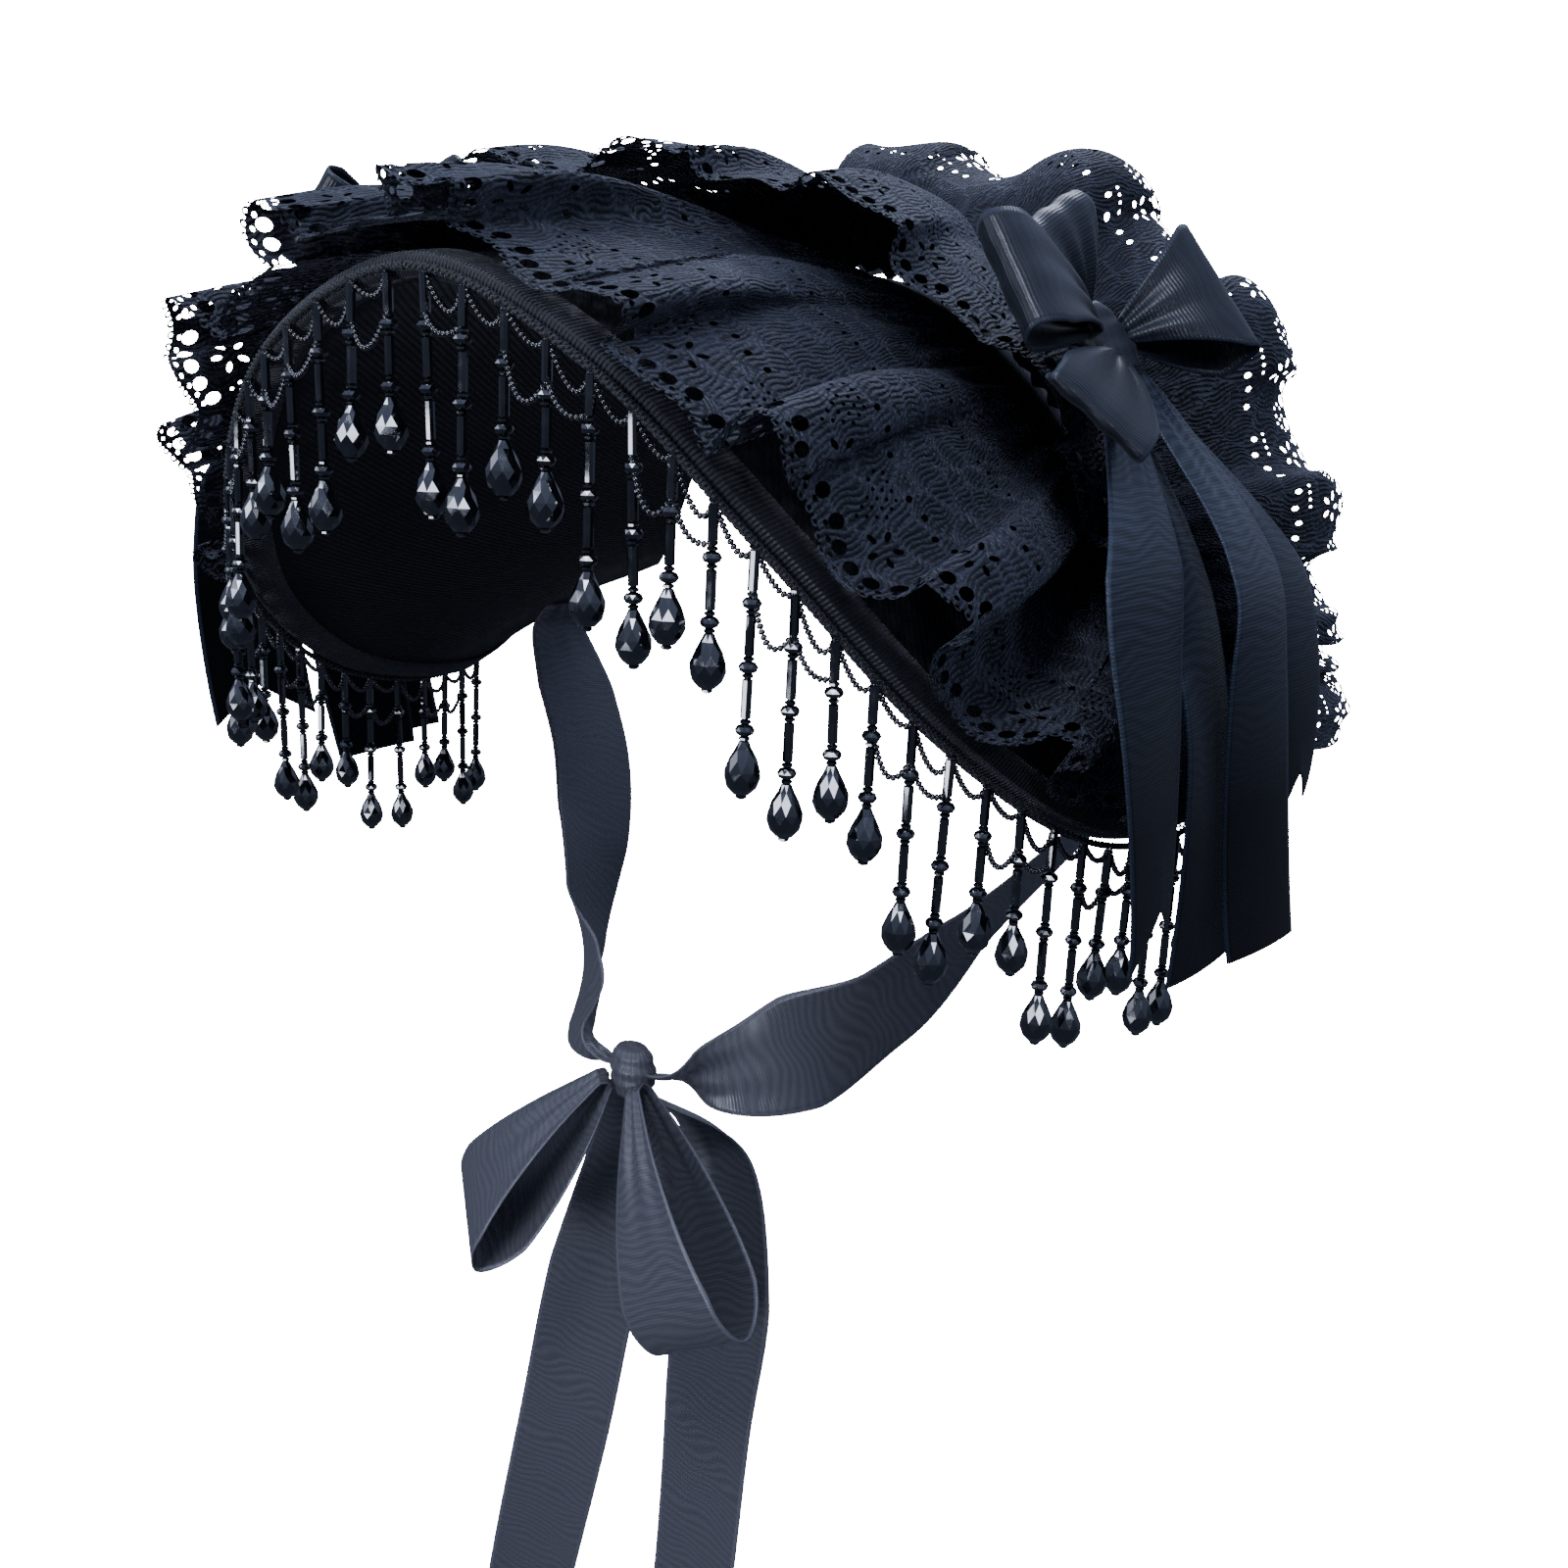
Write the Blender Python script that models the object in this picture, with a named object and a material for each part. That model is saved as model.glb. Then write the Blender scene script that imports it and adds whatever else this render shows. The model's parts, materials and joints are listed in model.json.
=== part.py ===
"""Lace bonnet with a beaded fringe, side bows and chin ribbons.

Units: metres in Blender, millimetres in the tables. +Z is up, the wearer faces -Y and the
wearer's left is +X. The origin is the crown seat, the spot under the brim board that rests
on the top of the head.
"""
import math

import bmesh
import bpy
import numpy as np

MM = 0.001

# Brim board
HALF_WIDTH = 150.0      # middle to the outermost edge
FORWARD = 175.0         # crown seat to the front edge
BACKWARD = 42.0         # crown seat to the back edge
DROP = 141.0            # crown seat down to the lowest point of the edge
BOARD = 3.0             # board thickness
BULGE = 6.0             # outward arch of each rib of the board
BOARD_COLUMNS = 40
BOARD_ROWS = 5

HEAD_LEVEL = 0.64       # share of DROP at which the lace stands straight out to the sides

# Gaps and cloth thicknesses
GAP = 0.35
SEAT_GAP = 0.8          # between gathered lace and what it is sewn to
LACE = 1.2
RIBBON = 1.0
BINDING = 1.0
BINDING_LEG = 9.0
BINDING_GAP = 0.4

# Lace tiers. Seams and reaches are shares of a rib, 0 at the board's edge and 1 at its back.
FRONT_SEAM = 0.68
FRONT_REACH = 0.71
FRONT_SPAN = 0.94       # how far along the arch the tier reaches
FRONT_COLUMNS = 74
FRONT_FOLDS = 15
FRONT_DEPTH = 0.36      # share of the puff that a fold takes
FRONT_SLIDE = 0.02      # sideways lean of the folds
FLAP_SEAM = 0.80
FLAP_REACH = 0.46
FLAP_SPAN = 0.56
FLAP_COLUMNS = 48
FLAP_FOLDS = 13
FLAP_DEPTH = 0.16
BACK_SEAM = 0.84
BACK_SEAM_FALL = 0.62   # how far the seam slides forward along the lower ends
BACK_TURN = 0.8         # share of the run at which the seam reaches the lower ends
BACK_ARCH = 0.97        # where along the arch it turns
BACK_REACH = 68.0       # how far the tier falls behind its seam over the crown
BACK_REACH_SIDE = 40.0  # and at the sides
BACK_SIDE = 0.55        # share of the run at which the sides begin
BACK_COLUMNS = 66
BACK_FOLDS = 13
BACK_DEPTH = 0.15
BACK_SEAM_LIFT = 3.0    # distance of the seam behind the board at its lower ends

# Fringe
STRAND_PITCH = 13.03
FRINGE_END = 27.0       # bare edge past the last strand
HEADER = 2.5
ROD_RADIUS = 1.1
DROP_RADIUS = 4.0
DROP_HEIGHT = 12.0
SHORT_STRAND = 43.5
LONG_STRAND = 56.5
FACETS = 8
EDGE_LENGTH = 680.0     # length of the fringed edge, end to end
STRANDS_PER_SIDE = int((EDGE_LENGTH / 2 - FRINGE_END) / STRAND_PITCH)

# Side bows and their ribbon
RIBBON_WIDTH = 38.0
GATHERED = 9.0          # tail width where the knot squeezes it
LOOP_PINCH = 7.0        # loop width where the knot squeezes it
KNOT_LENGTH = 20.0
KNOT_WIDTH = 15.0
KNOT_HEIGHT = 9.0
KNOT_FLAT = math.cos(math.pi / 8)   # flat-to-flat share of an eight-sided knot
BOW_ARCH = 0.31         # place of a bow along the arch, 0 at the top and 1 at an end
BOW_SEARCH = 0.06       # how far from that place the fold's crest may be
BOW_TURN = 0.3          # how far a bow faces forward
BOW_ROW = 2             # row of the flap's profile that a bow is sewn to
LOOP_TIP = 4.0          # what the knot takes from a loop's reach
TAIL_OPENING = 2.6      # how fast a tail opens to its full width, 1 at its very end
TAIL_LAYER = 2.2        # distance of one tail in front of another at the knot
TAIL_SINK = 3.0         # how far the lower layer starts under the knot's middle

# Chin ribbons
CHIN_DROP = 237.0       # crown seat down to the chin knot
CHIN_FORWARD = 92.0     # crown seat forward to the chin knot
CHIN_KNOT = 16.0
CHIN_KNOT_DEPTH = 11.2
CHIN_LOOP_START = (4.8, -4.5)   # aside and forward of the knot's middle
CHIN_LOOP_LEAN = 15.0
CHIN_TAIL_OPENING = 2.0
CHIN_TAIL_BACK = 2.6    # how far behind the knot's middle a tail starts
CHIN_LEAD = (9.0, 4.5)  # down and inward from the seam to the ribbon's first bend
CHIN_PINCH = 5.0        # chin ribbon width where the knot squeezes it
CHIN_SPREAD = 112.0     # middle to where a chin ribbon leaves the board
CHIN_SEAM = (0.82, 0.55)    # where the ribbon is sewn inside the board: along the arch, along the rib

# Half arch, top to end. Columns: front edge x, y, z, then back edge x, y, z, as shares of
# HALF_WIDTH, FORWARD (in front) or BACKWARD (behind), and DROP.
ARCH = (
    (0.000, -1.000, -0.045, 0.000, 1.00, 0.002),
    (0.353, -0.990, -0.180, 0.233, 1.00, -0.055),
    (0.610, -0.911, -0.439, 0.440, 1.00, -0.211),
    (0.800, -0.753, -0.720, 0.560, 0.95, -0.409),
    (0.913, -0.494, -0.930, 0.613, 0.90, -0.570),
    (0.947, -0.186, -0.996, 0.640, 0.86, -0.665),
    (1.000, 0.114, -0.906, 0.667, 0.86, -0.725),
)

# Columns: place along each lace tier from the wearer's right end (-1) to the left end (1),
# then how far the front, flap and back tiers stand out there, in millimetres.
PUFF = (
    (-1.00, 7.0, 16.0, 20.0),
    (-0.83, 7.0, 18.0, 38.0),
    (-0.62, 14.0, 26.0, 47.0),
    (-0.42, 22.0, 40.0, 52.0),
    (-0.20, 20.0, 42.0, 50.0),
    (0.00, 14.0, 24.0, 40.0),
    (0.20, 10.0, 32.0, 50.0),
    (0.42, 21.0, 32.0, 50.0),
    (0.62, 14.0, 26.0, 45.0),
    (0.83, 7.0, 18.0, 38.0),
    (1.00, 7.0, 16.0, 20.0),
)

# Rows across a tier, seam to free edge. Columns: share of the way, share of the reach,
# share of the puff, share of the fold depth.
FRONT_PROFILE = ((0.0, 0.0, 0.0, 0.0), (0.25, 0.23, 0.4, 0.15), (0.5, 0.48, 0.78, 0.55),
                 (0.75, 0.74, 1.0, 1.0), (1.0, 1.0, 0.9, 1.0))
FLAP_PROFILE = ((0.0, 0.0, 0.0, 0.0), (0.33, 0.24, 0.72, 0.35), (0.72, 0.66, 1.0, 0.8),
                (1.0, 1.0, 0.94, 1.0))
BACK_PROFILE = ((0.0, 0.0, 0.0, 0.0), (0.25, 0.12, 0.42, 0.3), (0.5, 0.26, 0.78, 0.6),
                (0.75, 0.6, 1.0, 1.0), (1.0, 1.0, 0.96, 1.0))

# Bow loops. Columns: name, reach towards the back, reach up the slope, rise from the lace,
# half opening, width share, start up the slope and over the knot's middle.
LOOPS = (
    ("back", 34.0, -1.0, 13.0, 8.0, 0.95, 0.0, 0.0),
    ("front", -48.0, 9.0, 22.0, 6.0, 0.8, 3.5, 1.0),
    ("top", -8.0, 27.0, 12.0, 5.0, 0.7, 6.0, -0.5),
    ("low", -49.0, -24.0, 22.0, 3.6, 0.72, -4.5, 1.5),
)

# The right side's lace stands out further, so its tails hang further out.
TAIL_ASIDE = {-1: 12.0, 1: 0.0}

# Bow tails. Columns: name, side by side start, layer, then three stations, each out past
# HALF_WIDTH, along and down from the crown seat, and the notch of the end.
TAILS = (
    ("one", -1, 1, (0, -97, -59), (8, -102, -92), (10, -93, -155), 14.0),
    ("two", -1, 0, (-3, -66, -66), (6, -60, -104), (9, -46, -174), 0.0),
    ("three", 1, 1, (5, -44, -61), (14, -44, -96), (16, -23, -172), 0.0),
    ("four", 1, 0, (0, -12, -64), (10, -8, -92), (12, -2, -138), 14.0),
)

# Chin ribbon run, board to knot. Columns: out, along and down from the crown seat, and the
# turn of the ribbon's width from front-to-back (0) to side-to-side (1).
CHIN_RUN = (
    (0.98, 0.0, -146.0, 0.0),
    (0.84, -8.0, -168.0, 0.05),
    (0.70, -24.0, -190.0, 0.15),
    (0.55, -46.0, -214.0, 0.35),
    (0.36, -70.0, -229.0, 0.55),
    (0.20, -85.0, -235.0, 0.6),
)

# Chin bow tails. Columns: name, side, then four stations of out, along and down.
CHIN_TAILS = (("right", -1, (-14, -74, -264), (-29, -76, -330), (-42, -75, -396), (-66, -73, -492)),
              ("left", 1, (20, -74, -264), (28, -78, -310), (22, -77, -365), (16, -75, -447)))

# Chin bow loops. Columns: name, aside and down from the knot, half opening, turn of the width.
CHIN_LOOPS = (("right", (-44.0, -62.0), 9.0, 0.45), ("left", (40.0, -66.0), 11.0, 0.12))


def clear_scene():
    """Empty the file of its start objects."""
    for old in list(bpy.data.objects):
        bpy.data.objects.remove(old, do_unlink=True)


def material(name, colour, roughness):
    """Make one plain Principled material."""
    made = bpy.data.materials.new(name)
    made.use_nodes = True
    shader = made.node_tree.nodes["Principled BSDF"]
    shader.inputs["Base Color"].default_value = (*colour, 1.0)
    shader.inputs["Roughness"].default_value = roughness
    made.diffuse_color = (*colour, 1.0)
    return made


def unit(vector):
    """Return the vector at length one."""
    return vector / np.linalg.norm(vector)


def smooth_table(keys, rows, at):
    """Read a table of rows at one key, through a Catmull-Rom curve."""
    keys = np.asarray(keys, float)
    rows = np.asarray(rows, float)
    index = int(np.clip(np.searchsorted(keys, at) - 1, 0, len(keys) - 2))
    before = rows[max(index - 1, 0)]
    start = rows[index]
    end = rows[index + 1]
    after = rows[min(index + 2, len(rows) - 1)]
    t = (at - keys[index]) / (keys[index + 1] - keys[index])
    return 0.5 * (2 * start + (end - before) * t + (2 * before - 5 * start + 4 * end - after) * t ** 2
                  + (3 * start - before - 3 * end + after) * t ** 3)


def full_arch():
    """Mirror the half arch into one table from the right end to the left end."""
    rows = []
    for fx, fy, fz, bx, by, bz in ARCH:
        front_y = fy * (FORWARD if fy < 0 else BACKWARD)
        rows.append((fx * HALF_WIDTH, front_y, fz * DROP, bx * HALF_WIDTH, by * BACKWARD, bz * DROP))
    rows = np.array(rows)
    mirror = rows[:0:-1] * (-1, 1, 1, -1, 1, 1)
    table = np.vstack((mirror, rows))
    table[:, (2, 5)] += BOARD / 2
    return np.linspace(-1.0, 1.0, len(table)), table


ARCH_KEYS, ARCH_ROWS = full_arch()


def radial(x, z):
    """Point away from the middle of the head, seen from the front."""
    return unit(np.array([x, 0.0, z + HEAD_LEVEL * DROP]))


def surface(arch, rib):
    """Return the middle of the board. Arch runs -1 to 1, rib 0 at the edge to 1 at the back."""
    row = smooth_table(ARCH_KEYS, ARCH_ROWS, arch)
    point = row[:3] + (row[3:] - row[:3]) * rib
    return point + radial(point[0], point[2]) * BULGE * 4.0 * rib * (1.0 - rib)


def normal(arch, rib):
    """Return the board's outward direction."""
    step = 0.01
    low = max(arch - step, -1.0)
    high = min(arch + step, 1.0)
    along = surface(high, rib) - surface(low, rib)
    across = surface(arch, rib + step) - surface(arch, rib - step)
    return unit(np.cross(along, across))


def rib_inward(arch):
    """Return the direction of the rib from the edge towards the back."""
    return unit(surface(arch, 0.02) - surface(arch, 0.0))


def edge_outward(arch):
    """Return the direction off the board, square to its edge."""
    step = 0.01
    tangent = surface(min(arch + step, 1.0), 0.0) - surface(max(arch - step, -1.0), 0.0)
    side = unit(np.cross(tangent, normal(arch, 0.0)))
    return side if np.dot(side, rib_inward(arch)) < 0 else -side


def add_object(name, mesh_data, finish):
    """Turn vertices in millimetres and faces into an object with its normals outward."""
    vertices, faces = mesh_data
    mesh = bpy.data.meshes.new(name)
    mesh.from_pydata([tuple(float(c) * MM for c in v) for v in vertices], [], [tuple(f) for f in faces])
    work = bmesh.new()
    work.from_mesh(mesh)
    bmesh.ops.triangulate(work, faces=work.faces[:])
    bmesh.ops.recalc_face_normals(work, faces=work.faces[:])
    if work.calc_volume(signed=True) < 0:
        bmesh.ops.reverse_faces(work, faces=work.faces[:])
    work.to_mesh(mesh)
    work.free()
    made = bpy.data.objects.new(name, mesh)
    made.data.materials.append(finish)
    bpy.context.scene.collection.objects.link(made)
    return made


def grid_normals(grid, closed):
    """Return a unit normal for each point of a grid of rows."""
    if closed:
        down = np.roll(grid, -1, axis=0) - np.roll(grid, 1, axis=0)
    else:
        down = np.gradient(grid, axis=0)
    across = np.gradient(grid, axis=1)
    cross = np.cross(down, across)
    return cross / np.linalg.norm(cross, axis=2, keepdims=True)


def sheet(grid, thickness, closed=False):
    """Give a grid of points a thickness and close it. Closed joins the last row to the first."""
    grid = np.asarray(grid, float)
    rows, columns = grid.shape[:2]
    offset = grid_normals(grid, closed) * thickness / 2
    vertices = np.concatenate(((grid + offset).reshape(-1, 3), (grid - offset).reshape(-1, 3)))
    back = rows * columns
    faces = []
    for r in range(rows if closed else rows - 1):
        nxt = (r + 1) % rows
        for c in range(columns - 1):
            a, b = r * columns + c, r * columns + c + 1
            d, e = nxt * columns + c, nxt * columns + c + 1
            faces.append((a, b, e, d))
            faces.append((back + a, back + d, back + e, back + b))
        for c in (0, columns - 1):
            a, d = r * columns + c, nxt * columns + c
            faces.append((a, d, back + d, back + a) if c == 0 else (a, back + a, back + d, d))
    if not closed:
        for c in range(columns - 1):
            last = (rows - 1) * columns
            faces.append((c, back + c, back + c + 1, c + 1))
            faces.append((last + c, last + c + 1, back + last + c + 1, back + last + c))
    return vertices, faces


def sweep(sections):
    """Join closed sections of equal length into one capped body."""
    sections = np.asarray(sections, float)
    count, sides = sections.shape[:2]
    faces = []
    for s in range(count - 1):
        for k in range(sides):
            n = (k + 1) % sides
            faces.append((s * sides + k, s * sides + n, (s + 1) * sides + n, (s + 1) * sides + k))
    faces.append(tuple(range(sides - 1, -1, -1)))
    faces.append(tuple((count - 1) * sides + k for k in range(sides)))
    return sections.reshape(-1, 3), faces


def board_grid():
    """Lay out the board's middle surface."""
    arches = np.linspace(-1.0, 1.0, BOARD_COLUMNS + 1)
    ribs = np.linspace(0.0, 1.0, BOARD_ROWS + 1)
    return [[surface(a, r) for r in ribs] for a in arches]


def binding_sections():
    """Wrap the fringed edge of the board in a folded strip."""
    inner = BOARD / 2 + BINDING_GAP
    outer = inner + BINDING
    sections = []
    for arch in np.linspace(-1.0, 1.0, BOARD_COLUMNS + 1):
        edge = surface(arch, 0.0)
        inward = rib_inward(arch)
        out = normal(arch, 0.0)
        shape = ((BINDING_LEG, outer), (-BINDING_GAP - BINDING, outer),
                 (-BINDING_GAP - BINDING, -outer), (BINDING_LEG, -outer),
                 (BINDING_LEG, -inner), (-BINDING_GAP, -inner), (-BINDING_GAP, inner), (BINDING_LEG, inner))
        sections.append([edge + inward * d + out * h for d, h in shape])
    return sections


def header_centre(arch):
    """Return the middle of the fringe's heading, just off the binding."""
    clear = BINDING_GAP + BINDING + GAP + HEADER / 2
    return surface(arch, 0.0) + edge_outward(arch) * clear


def strand_mesh(top, length):
    """Make one strand: a plain rod that ends in a faceted drop."""
    drop_top = top[2] - length + DROP_HEIGHT
    rings = ((top[2], ROD_RADIUS), (drop_top, ROD_RADIUS * 1.05),
             (drop_top - DROP_HEIGHT * 0.6, DROP_RADIUS), (drop_top - DROP_HEIGHT * 0.88, DROP_RADIUS * 0.66),
             (drop_top - DROP_HEIGHT, DROP_RADIUS * 0.28))
    sections = []
    for z, radius in rings:
        angles = [2 * math.pi * (k + 0.5) / FACETS for k in range(FACETS)]
        sections.append([(top[0] + radius * math.cos(a), top[1] + radius * math.sin(a), z) for a in angles])
    return sweep(sections)


def is_long(side, number):
    """Long and short strands take turns in pairs, shifted between the two halves."""
    pair = number // 2
    return pair % 2 == (0 if side > 0 else 1)


def fringe(name, side, finish):
    """Build one half of the fringe: a heading with every strand fused to it."""
    last = (STRANDS_PER_SIDE - 0.2) * STRAND_PITCH / (EDGE_LENGTH / 2)
    start = GAP / EDGE_LENGTH
    half = HEADER / 2
    sections = []
    for arch in np.linspace(start, last, 26):
        centre = header_centre(side * arch)
        out = edge_outward(side * arch)
        up = normal(side * arch, 0.0)
        corners = ((-half, -half), (half, -half), (half, half), (-half, half))
        sections.append([centre + out * a + up * b for a, b in corners])
    heading = add_object(name, sweep(sections), finish)
    vertices, faces = [], []
    for number in range(STRANDS_PER_SIDE):
        arch = side * (number + 0.5) * STRAND_PITCH / (EDGE_LENGTH / 2)
        length = LONG_STRAND if is_long(side, number) else SHORT_STRAND
        points, strips = strand_mesh(header_centre(arch), length)
        faces += [tuple(len(vertices) + i for i in f) for f in strips]
        vertices += [tuple(p) for p in points]
    strands = add_object(name + "_strands", (vertices, faces), finish)
    join = heading.modifiers.new("join", "BOOLEAN")
    join.operation = "UNION"
    join.solver = "EXACT"
    join.object = strands
    heading.data = bpy.data.meshes.new_from_object(heading.evaluated_get(bpy.context.evaluated_depsgraph_get()))
    heading.modifiers.clear()
    bpy.data.objects.remove(strands, do_unlink=True)


def puff(arch, tier):
    """Return how far a tier stands out at a place along the arch."""
    keys = [row[0] for row in PUFF]
    return float(smooth_table(keys, [[row[1 + tier]] for row in PUFF], arch)[0])


def folds(arch, count, phase):
    """Return the height of the gathers, between about -1 and 1."""
    turn = math.pi * count * arch + phase
    return 0.78 * math.sin(turn) + 0.22 * math.sin(2.3 * turn + 1.0)


def front_tier(arch, row):
    """Place the front ruffle, which falls forward over the board."""
    _, reach, rise, depth = row
    rib = FRONT_SEAM - reach * FRONT_REACH
    height = puff(arch, 0)
    seat = BOARD / 2 + SEAT_GAP + LACE / 2
    lift = seat + height * (rise + FRONT_DEPTH * depth * folds(arch, FRONT_FOLDS, 0.4))
    slide = FRONT_SLIDE * depth * (1.0 - arch ** 4) * math.cos(math.pi * FRONT_FOLDS * arch + 0.4)
    shifted = min(max(arch + slide, -1.0), 1.0)
    return surface(shifted, rib) + normal(arch, max(rib, 0.0)) * lift


def flap_folds(arch):
    """Return the height of the flap's gathers at a place along the arch."""
    return folds(arch, FLAP_FOLDS, 1.2)


def flap_tier(arch, row):
    """Place the upper ruffle, which falls forward from the crown seam."""
    _, reach, rise, depth = row
    base = surface(arch, FLAP_SEAM - reach * FLAP_REACH)
    seat = normal(arch, FLAP_SEAM) * (BOARD / 2 + SEAT_GAP + LACE / 2)
    height = puff(arch, 1)
    fold = FLAP_DEPTH * height * depth * flap_folds(arch)
    return base + seat + radial(base[0], base[2]) * (rise * height + fold)


def back_seam(run):
    """Return the back ruffle's seam: over the crown, then along the board's lower ends."""
    over = min(abs(run) / BACK_TURN, 1.0)
    past = max((abs(run) - BACK_TURN) / (1.0 - BACK_TURN), 0.0)
    arch = math.copysign(BACK_ARCH * over, run)
    point = surface(arch, BACK_SEAM - BACK_SEAM_FALL * past)
    backward = np.array([0.0, 1.0, 0.0])
    lift = normal(arch, BACK_SEAM) * (1.0 - past) + backward * past
    return point + unit(lift) * (BOARD / 2 + SEAT_GAP) + backward * BACK_SEAM_LIFT * past


def back_tier(run, row):
    """Place the back ruffle, which stands up and falls to the back."""
    _, reach, rise, depth = row
    base = back_seam(run)
    height = puff(run, 2)
    fold = BACK_DEPTH * height * depth * folds(run, BACK_FOLDS, 2.0) * (1.0 - 0.85 * abs(run) ** 3)
    length = BACK_REACH + (BACK_REACH_SIDE - BACK_REACH) * min(abs(run) / BACK_SIDE, 1.0)
    back = np.array([0.0, 1.0, 0.0]) * (reach * length - fold * 0.6)
    return base + radial(base[0], base[2]) * (rise * height + fold) + back


def ruffle(name, place, profile, span, columns, finish):
    """Build one lace tier as a thin wavy wall."""
    grid = [[place(arch, row) for row in profile] for arch in np.linspace(-span, span, columns)]
    add_object(name, sheet(grid, LACE), finish)


def band(path, across, widths):
    """Lay points either side of a path, three to a row."""
    grid = []
    for centre, side, width in zip(path, across, widths):
        grid.append([centre - side * width / 2, centre, centre + side * width / 2])
    return grid


def resample(points, count):
    """Read a smooth curve through the given points."""
    keys = np.linspace(0.0, 1.0, len(points))
    return [smooth_table(keys, points, t) for t in np.linspace(0.0, 1.0, count)]


def bow_frame(side):
    """Return the knot's middle, on a crest of the flap, and the ways back, up and outward."""
    columns = np.linspace(-FLAP_SPAN, FLAP_SPAN, FLAP_COLUMNS)
    arch = max((a for a in columns if abs(a - side * BOW_ARCH) < BOW_SEARCH), key=flap_folds)
    row = FLAP_PROFILE[BOW_ROW]
    spot = flap_tier(arch, row)
    smooth = (row[0], row[1], row[2], 0.0)
    ahead = flap_tier(arch + 0.02, smooth) - flap_tier(arch - 0.02, smooth)
    down = flap_tier(arch, (row[0], row[1] + 0.05, row[2], 0.0)) - flap_tier(arch, smooth)
    out = unit(np.cross(ahead, down))
    if np.dot(out, radial(spot[0], spot[2])) < 0:
        out = -out
    backward = np.array([0.0, 1.0, 0.0])
    face = unit(out - BOW_TURN * backward)
    back = unit(backward - face * face[1])
    slope = unit(np.cross(back, face))
    slope = slope if slope[2] > 0 else -slope
    corners, _ = knot_mesh(np.zeros(3), (slope, back, face), (KNOT_LENGTH, KNOT_WIDTH, KNOT_HEIGHT))
    centre = spot + out * (LACE / 2 + GAP + max(-(corner @ out) for corner in corners))
    return centre, back, slope, face


def knot_mesh(centre, axes, sizes):
    """Make a box with a narrower top and rounded sides."""
    along, across, out = axes
    length, width, height = sizes
    sections = []
    for share, grow in ((-0.5, 0.72), (-0.2, 1.0), (0.2, 1.0), (0.5, 0.72)):
        ring = []
        for k in range(8):
            angle = 2 * math.pi * (k + 0.5) / 8
            ring.append(centre + along * share * length + across * math.cos(angle) * width / 2 * grow
                        + out * math.sin(angle) * height / 2 * grow)
        sections.append(ring)
    return sweep(sections)


def push_clear(body, points, heading):
    """Return how far points move along a heading to stand clear of a convex body."""
    vertices, faces = body
    middle = vertices.mean(axis=0)
    planes = []
    for face in faces:
        a, b, c = (vertices[i] for i in face[:3])
        plane = unit(np.cross(b - a, c - a))
        plane = plane if np.dot(plane, a - middle) > 0 else -plane
        if np.dot(plane, heading) > 0.01:
            planes.append((plane, np.dot(plane, a)))
    shifts = []
    for point in points:
        shifts.append(min((SEAT_GAP - (plane @ point - level)) / (plane @ heading) for plane, level in planes))
    return max(shifts)


def seated_loop(knot, grid, heading):
    """Slide a loop along its heading until its pinched end just clears the knot."""
    grid = np.array(grid)
    skins, _ = sheet(grid, RIBBON, closed=True)
    columns = grid.shape[1]
    half = len(skins) // 2
    starts = (0, half - columns, half, 2 * half - columns)
    ends = [skins[i] for start in starts for i in range(start, start + columns)]
    return grid + heading * push_clear(knot, ends, heading)


def loop_grid(start, heading, lift, across, reach, opening, width):
    """Lay out a bow loop: a closed ring of ribbon, pinched at the knot."""
    profile = ((0.0, 0.22), (0.3, 0.75), (0.62, 1.0), (0.88, 0.8), (1.0, 0.0),
               (0.88, -0.8), (0.62, -1.0), (0.3, -0.75), (0.0, -0.22))
    path, sides, widths = [], [], []
    for share, rise in profile:
        path.append(start + heading * reach * share + lift * opening * rise)
        sides.append(across)
        widths.append(LOOP_PINCH + (width - LOOP_PINCH) * min(1.0, 1.25 * share))
    return band(path, sides, widths)


def side_bow(side, label, ribbon):
    """Build a knot, its loops and its tails on one side of the bonnet."""
    centre, back, slope, out = bow_frame(side)
    knot = knot_mesh(centre, (slope, back, out), (KNOT_LENGTH, KNOT_WIDTH, KNOT_HEIGHT))
    add_object(f"bow_{label}_knot", knot, ribbon)
    for name, to_back, to_top, lift, opening, share, up, raised in LOOPS:
        flat = back * to_back + slope * to_top
        reach = np.linalg.norm(flat)
        heading = unit(flat + out * lift)
        lift_axis = unit(out - heading * np.dot(out, heading))
        across = np.cross(heading, lift_axis)
        start = centre + slope * up + out * raised
        grid = loop_grid(start, heading, lift_axis, across, reach - LOOP_TIP, opening, RIBBON_WIDTH * share)
        grid = seated_loop(knot, grid, heading)
        add_object(f"bow_{label}_loop_{name}", sheet(grid, RIBBON, closed=True), ribbon)
    for name, place, layer, upper, middle, low, notch in TAILS:
        lead = centre - slope * (KNOT_LENGTH / 2 + GAP)
        lead = lead + back * place * (GATHERED / 2 + GAP) + out * (layer * TAIL_LAYER - TAIL_SINK)
        stations = [lead]
        for out_past, along, down in (upper, middle, low):
            stations.append(np.array([side * (HALF_WIDTH + out_past + TAIL_ASIDE[side]), along, down]))
        path = resample(stations, 9)
        widths = [GATHERED + (RIBBON_WIDTH - GATHERED) * min(1.0, TAIL_OPENING * k / 8) for k in range(9)]
        grid = np.array(band(path, [np.array([0.0, 1.0, 0.0])] * 9, widths))
        grid[-1, 1] += unit(path[-2] - path[-1]) * notch
        add_object(f"bow_{label}_tail_{name}", sheet(grid, RIBBON), ribbon)


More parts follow.
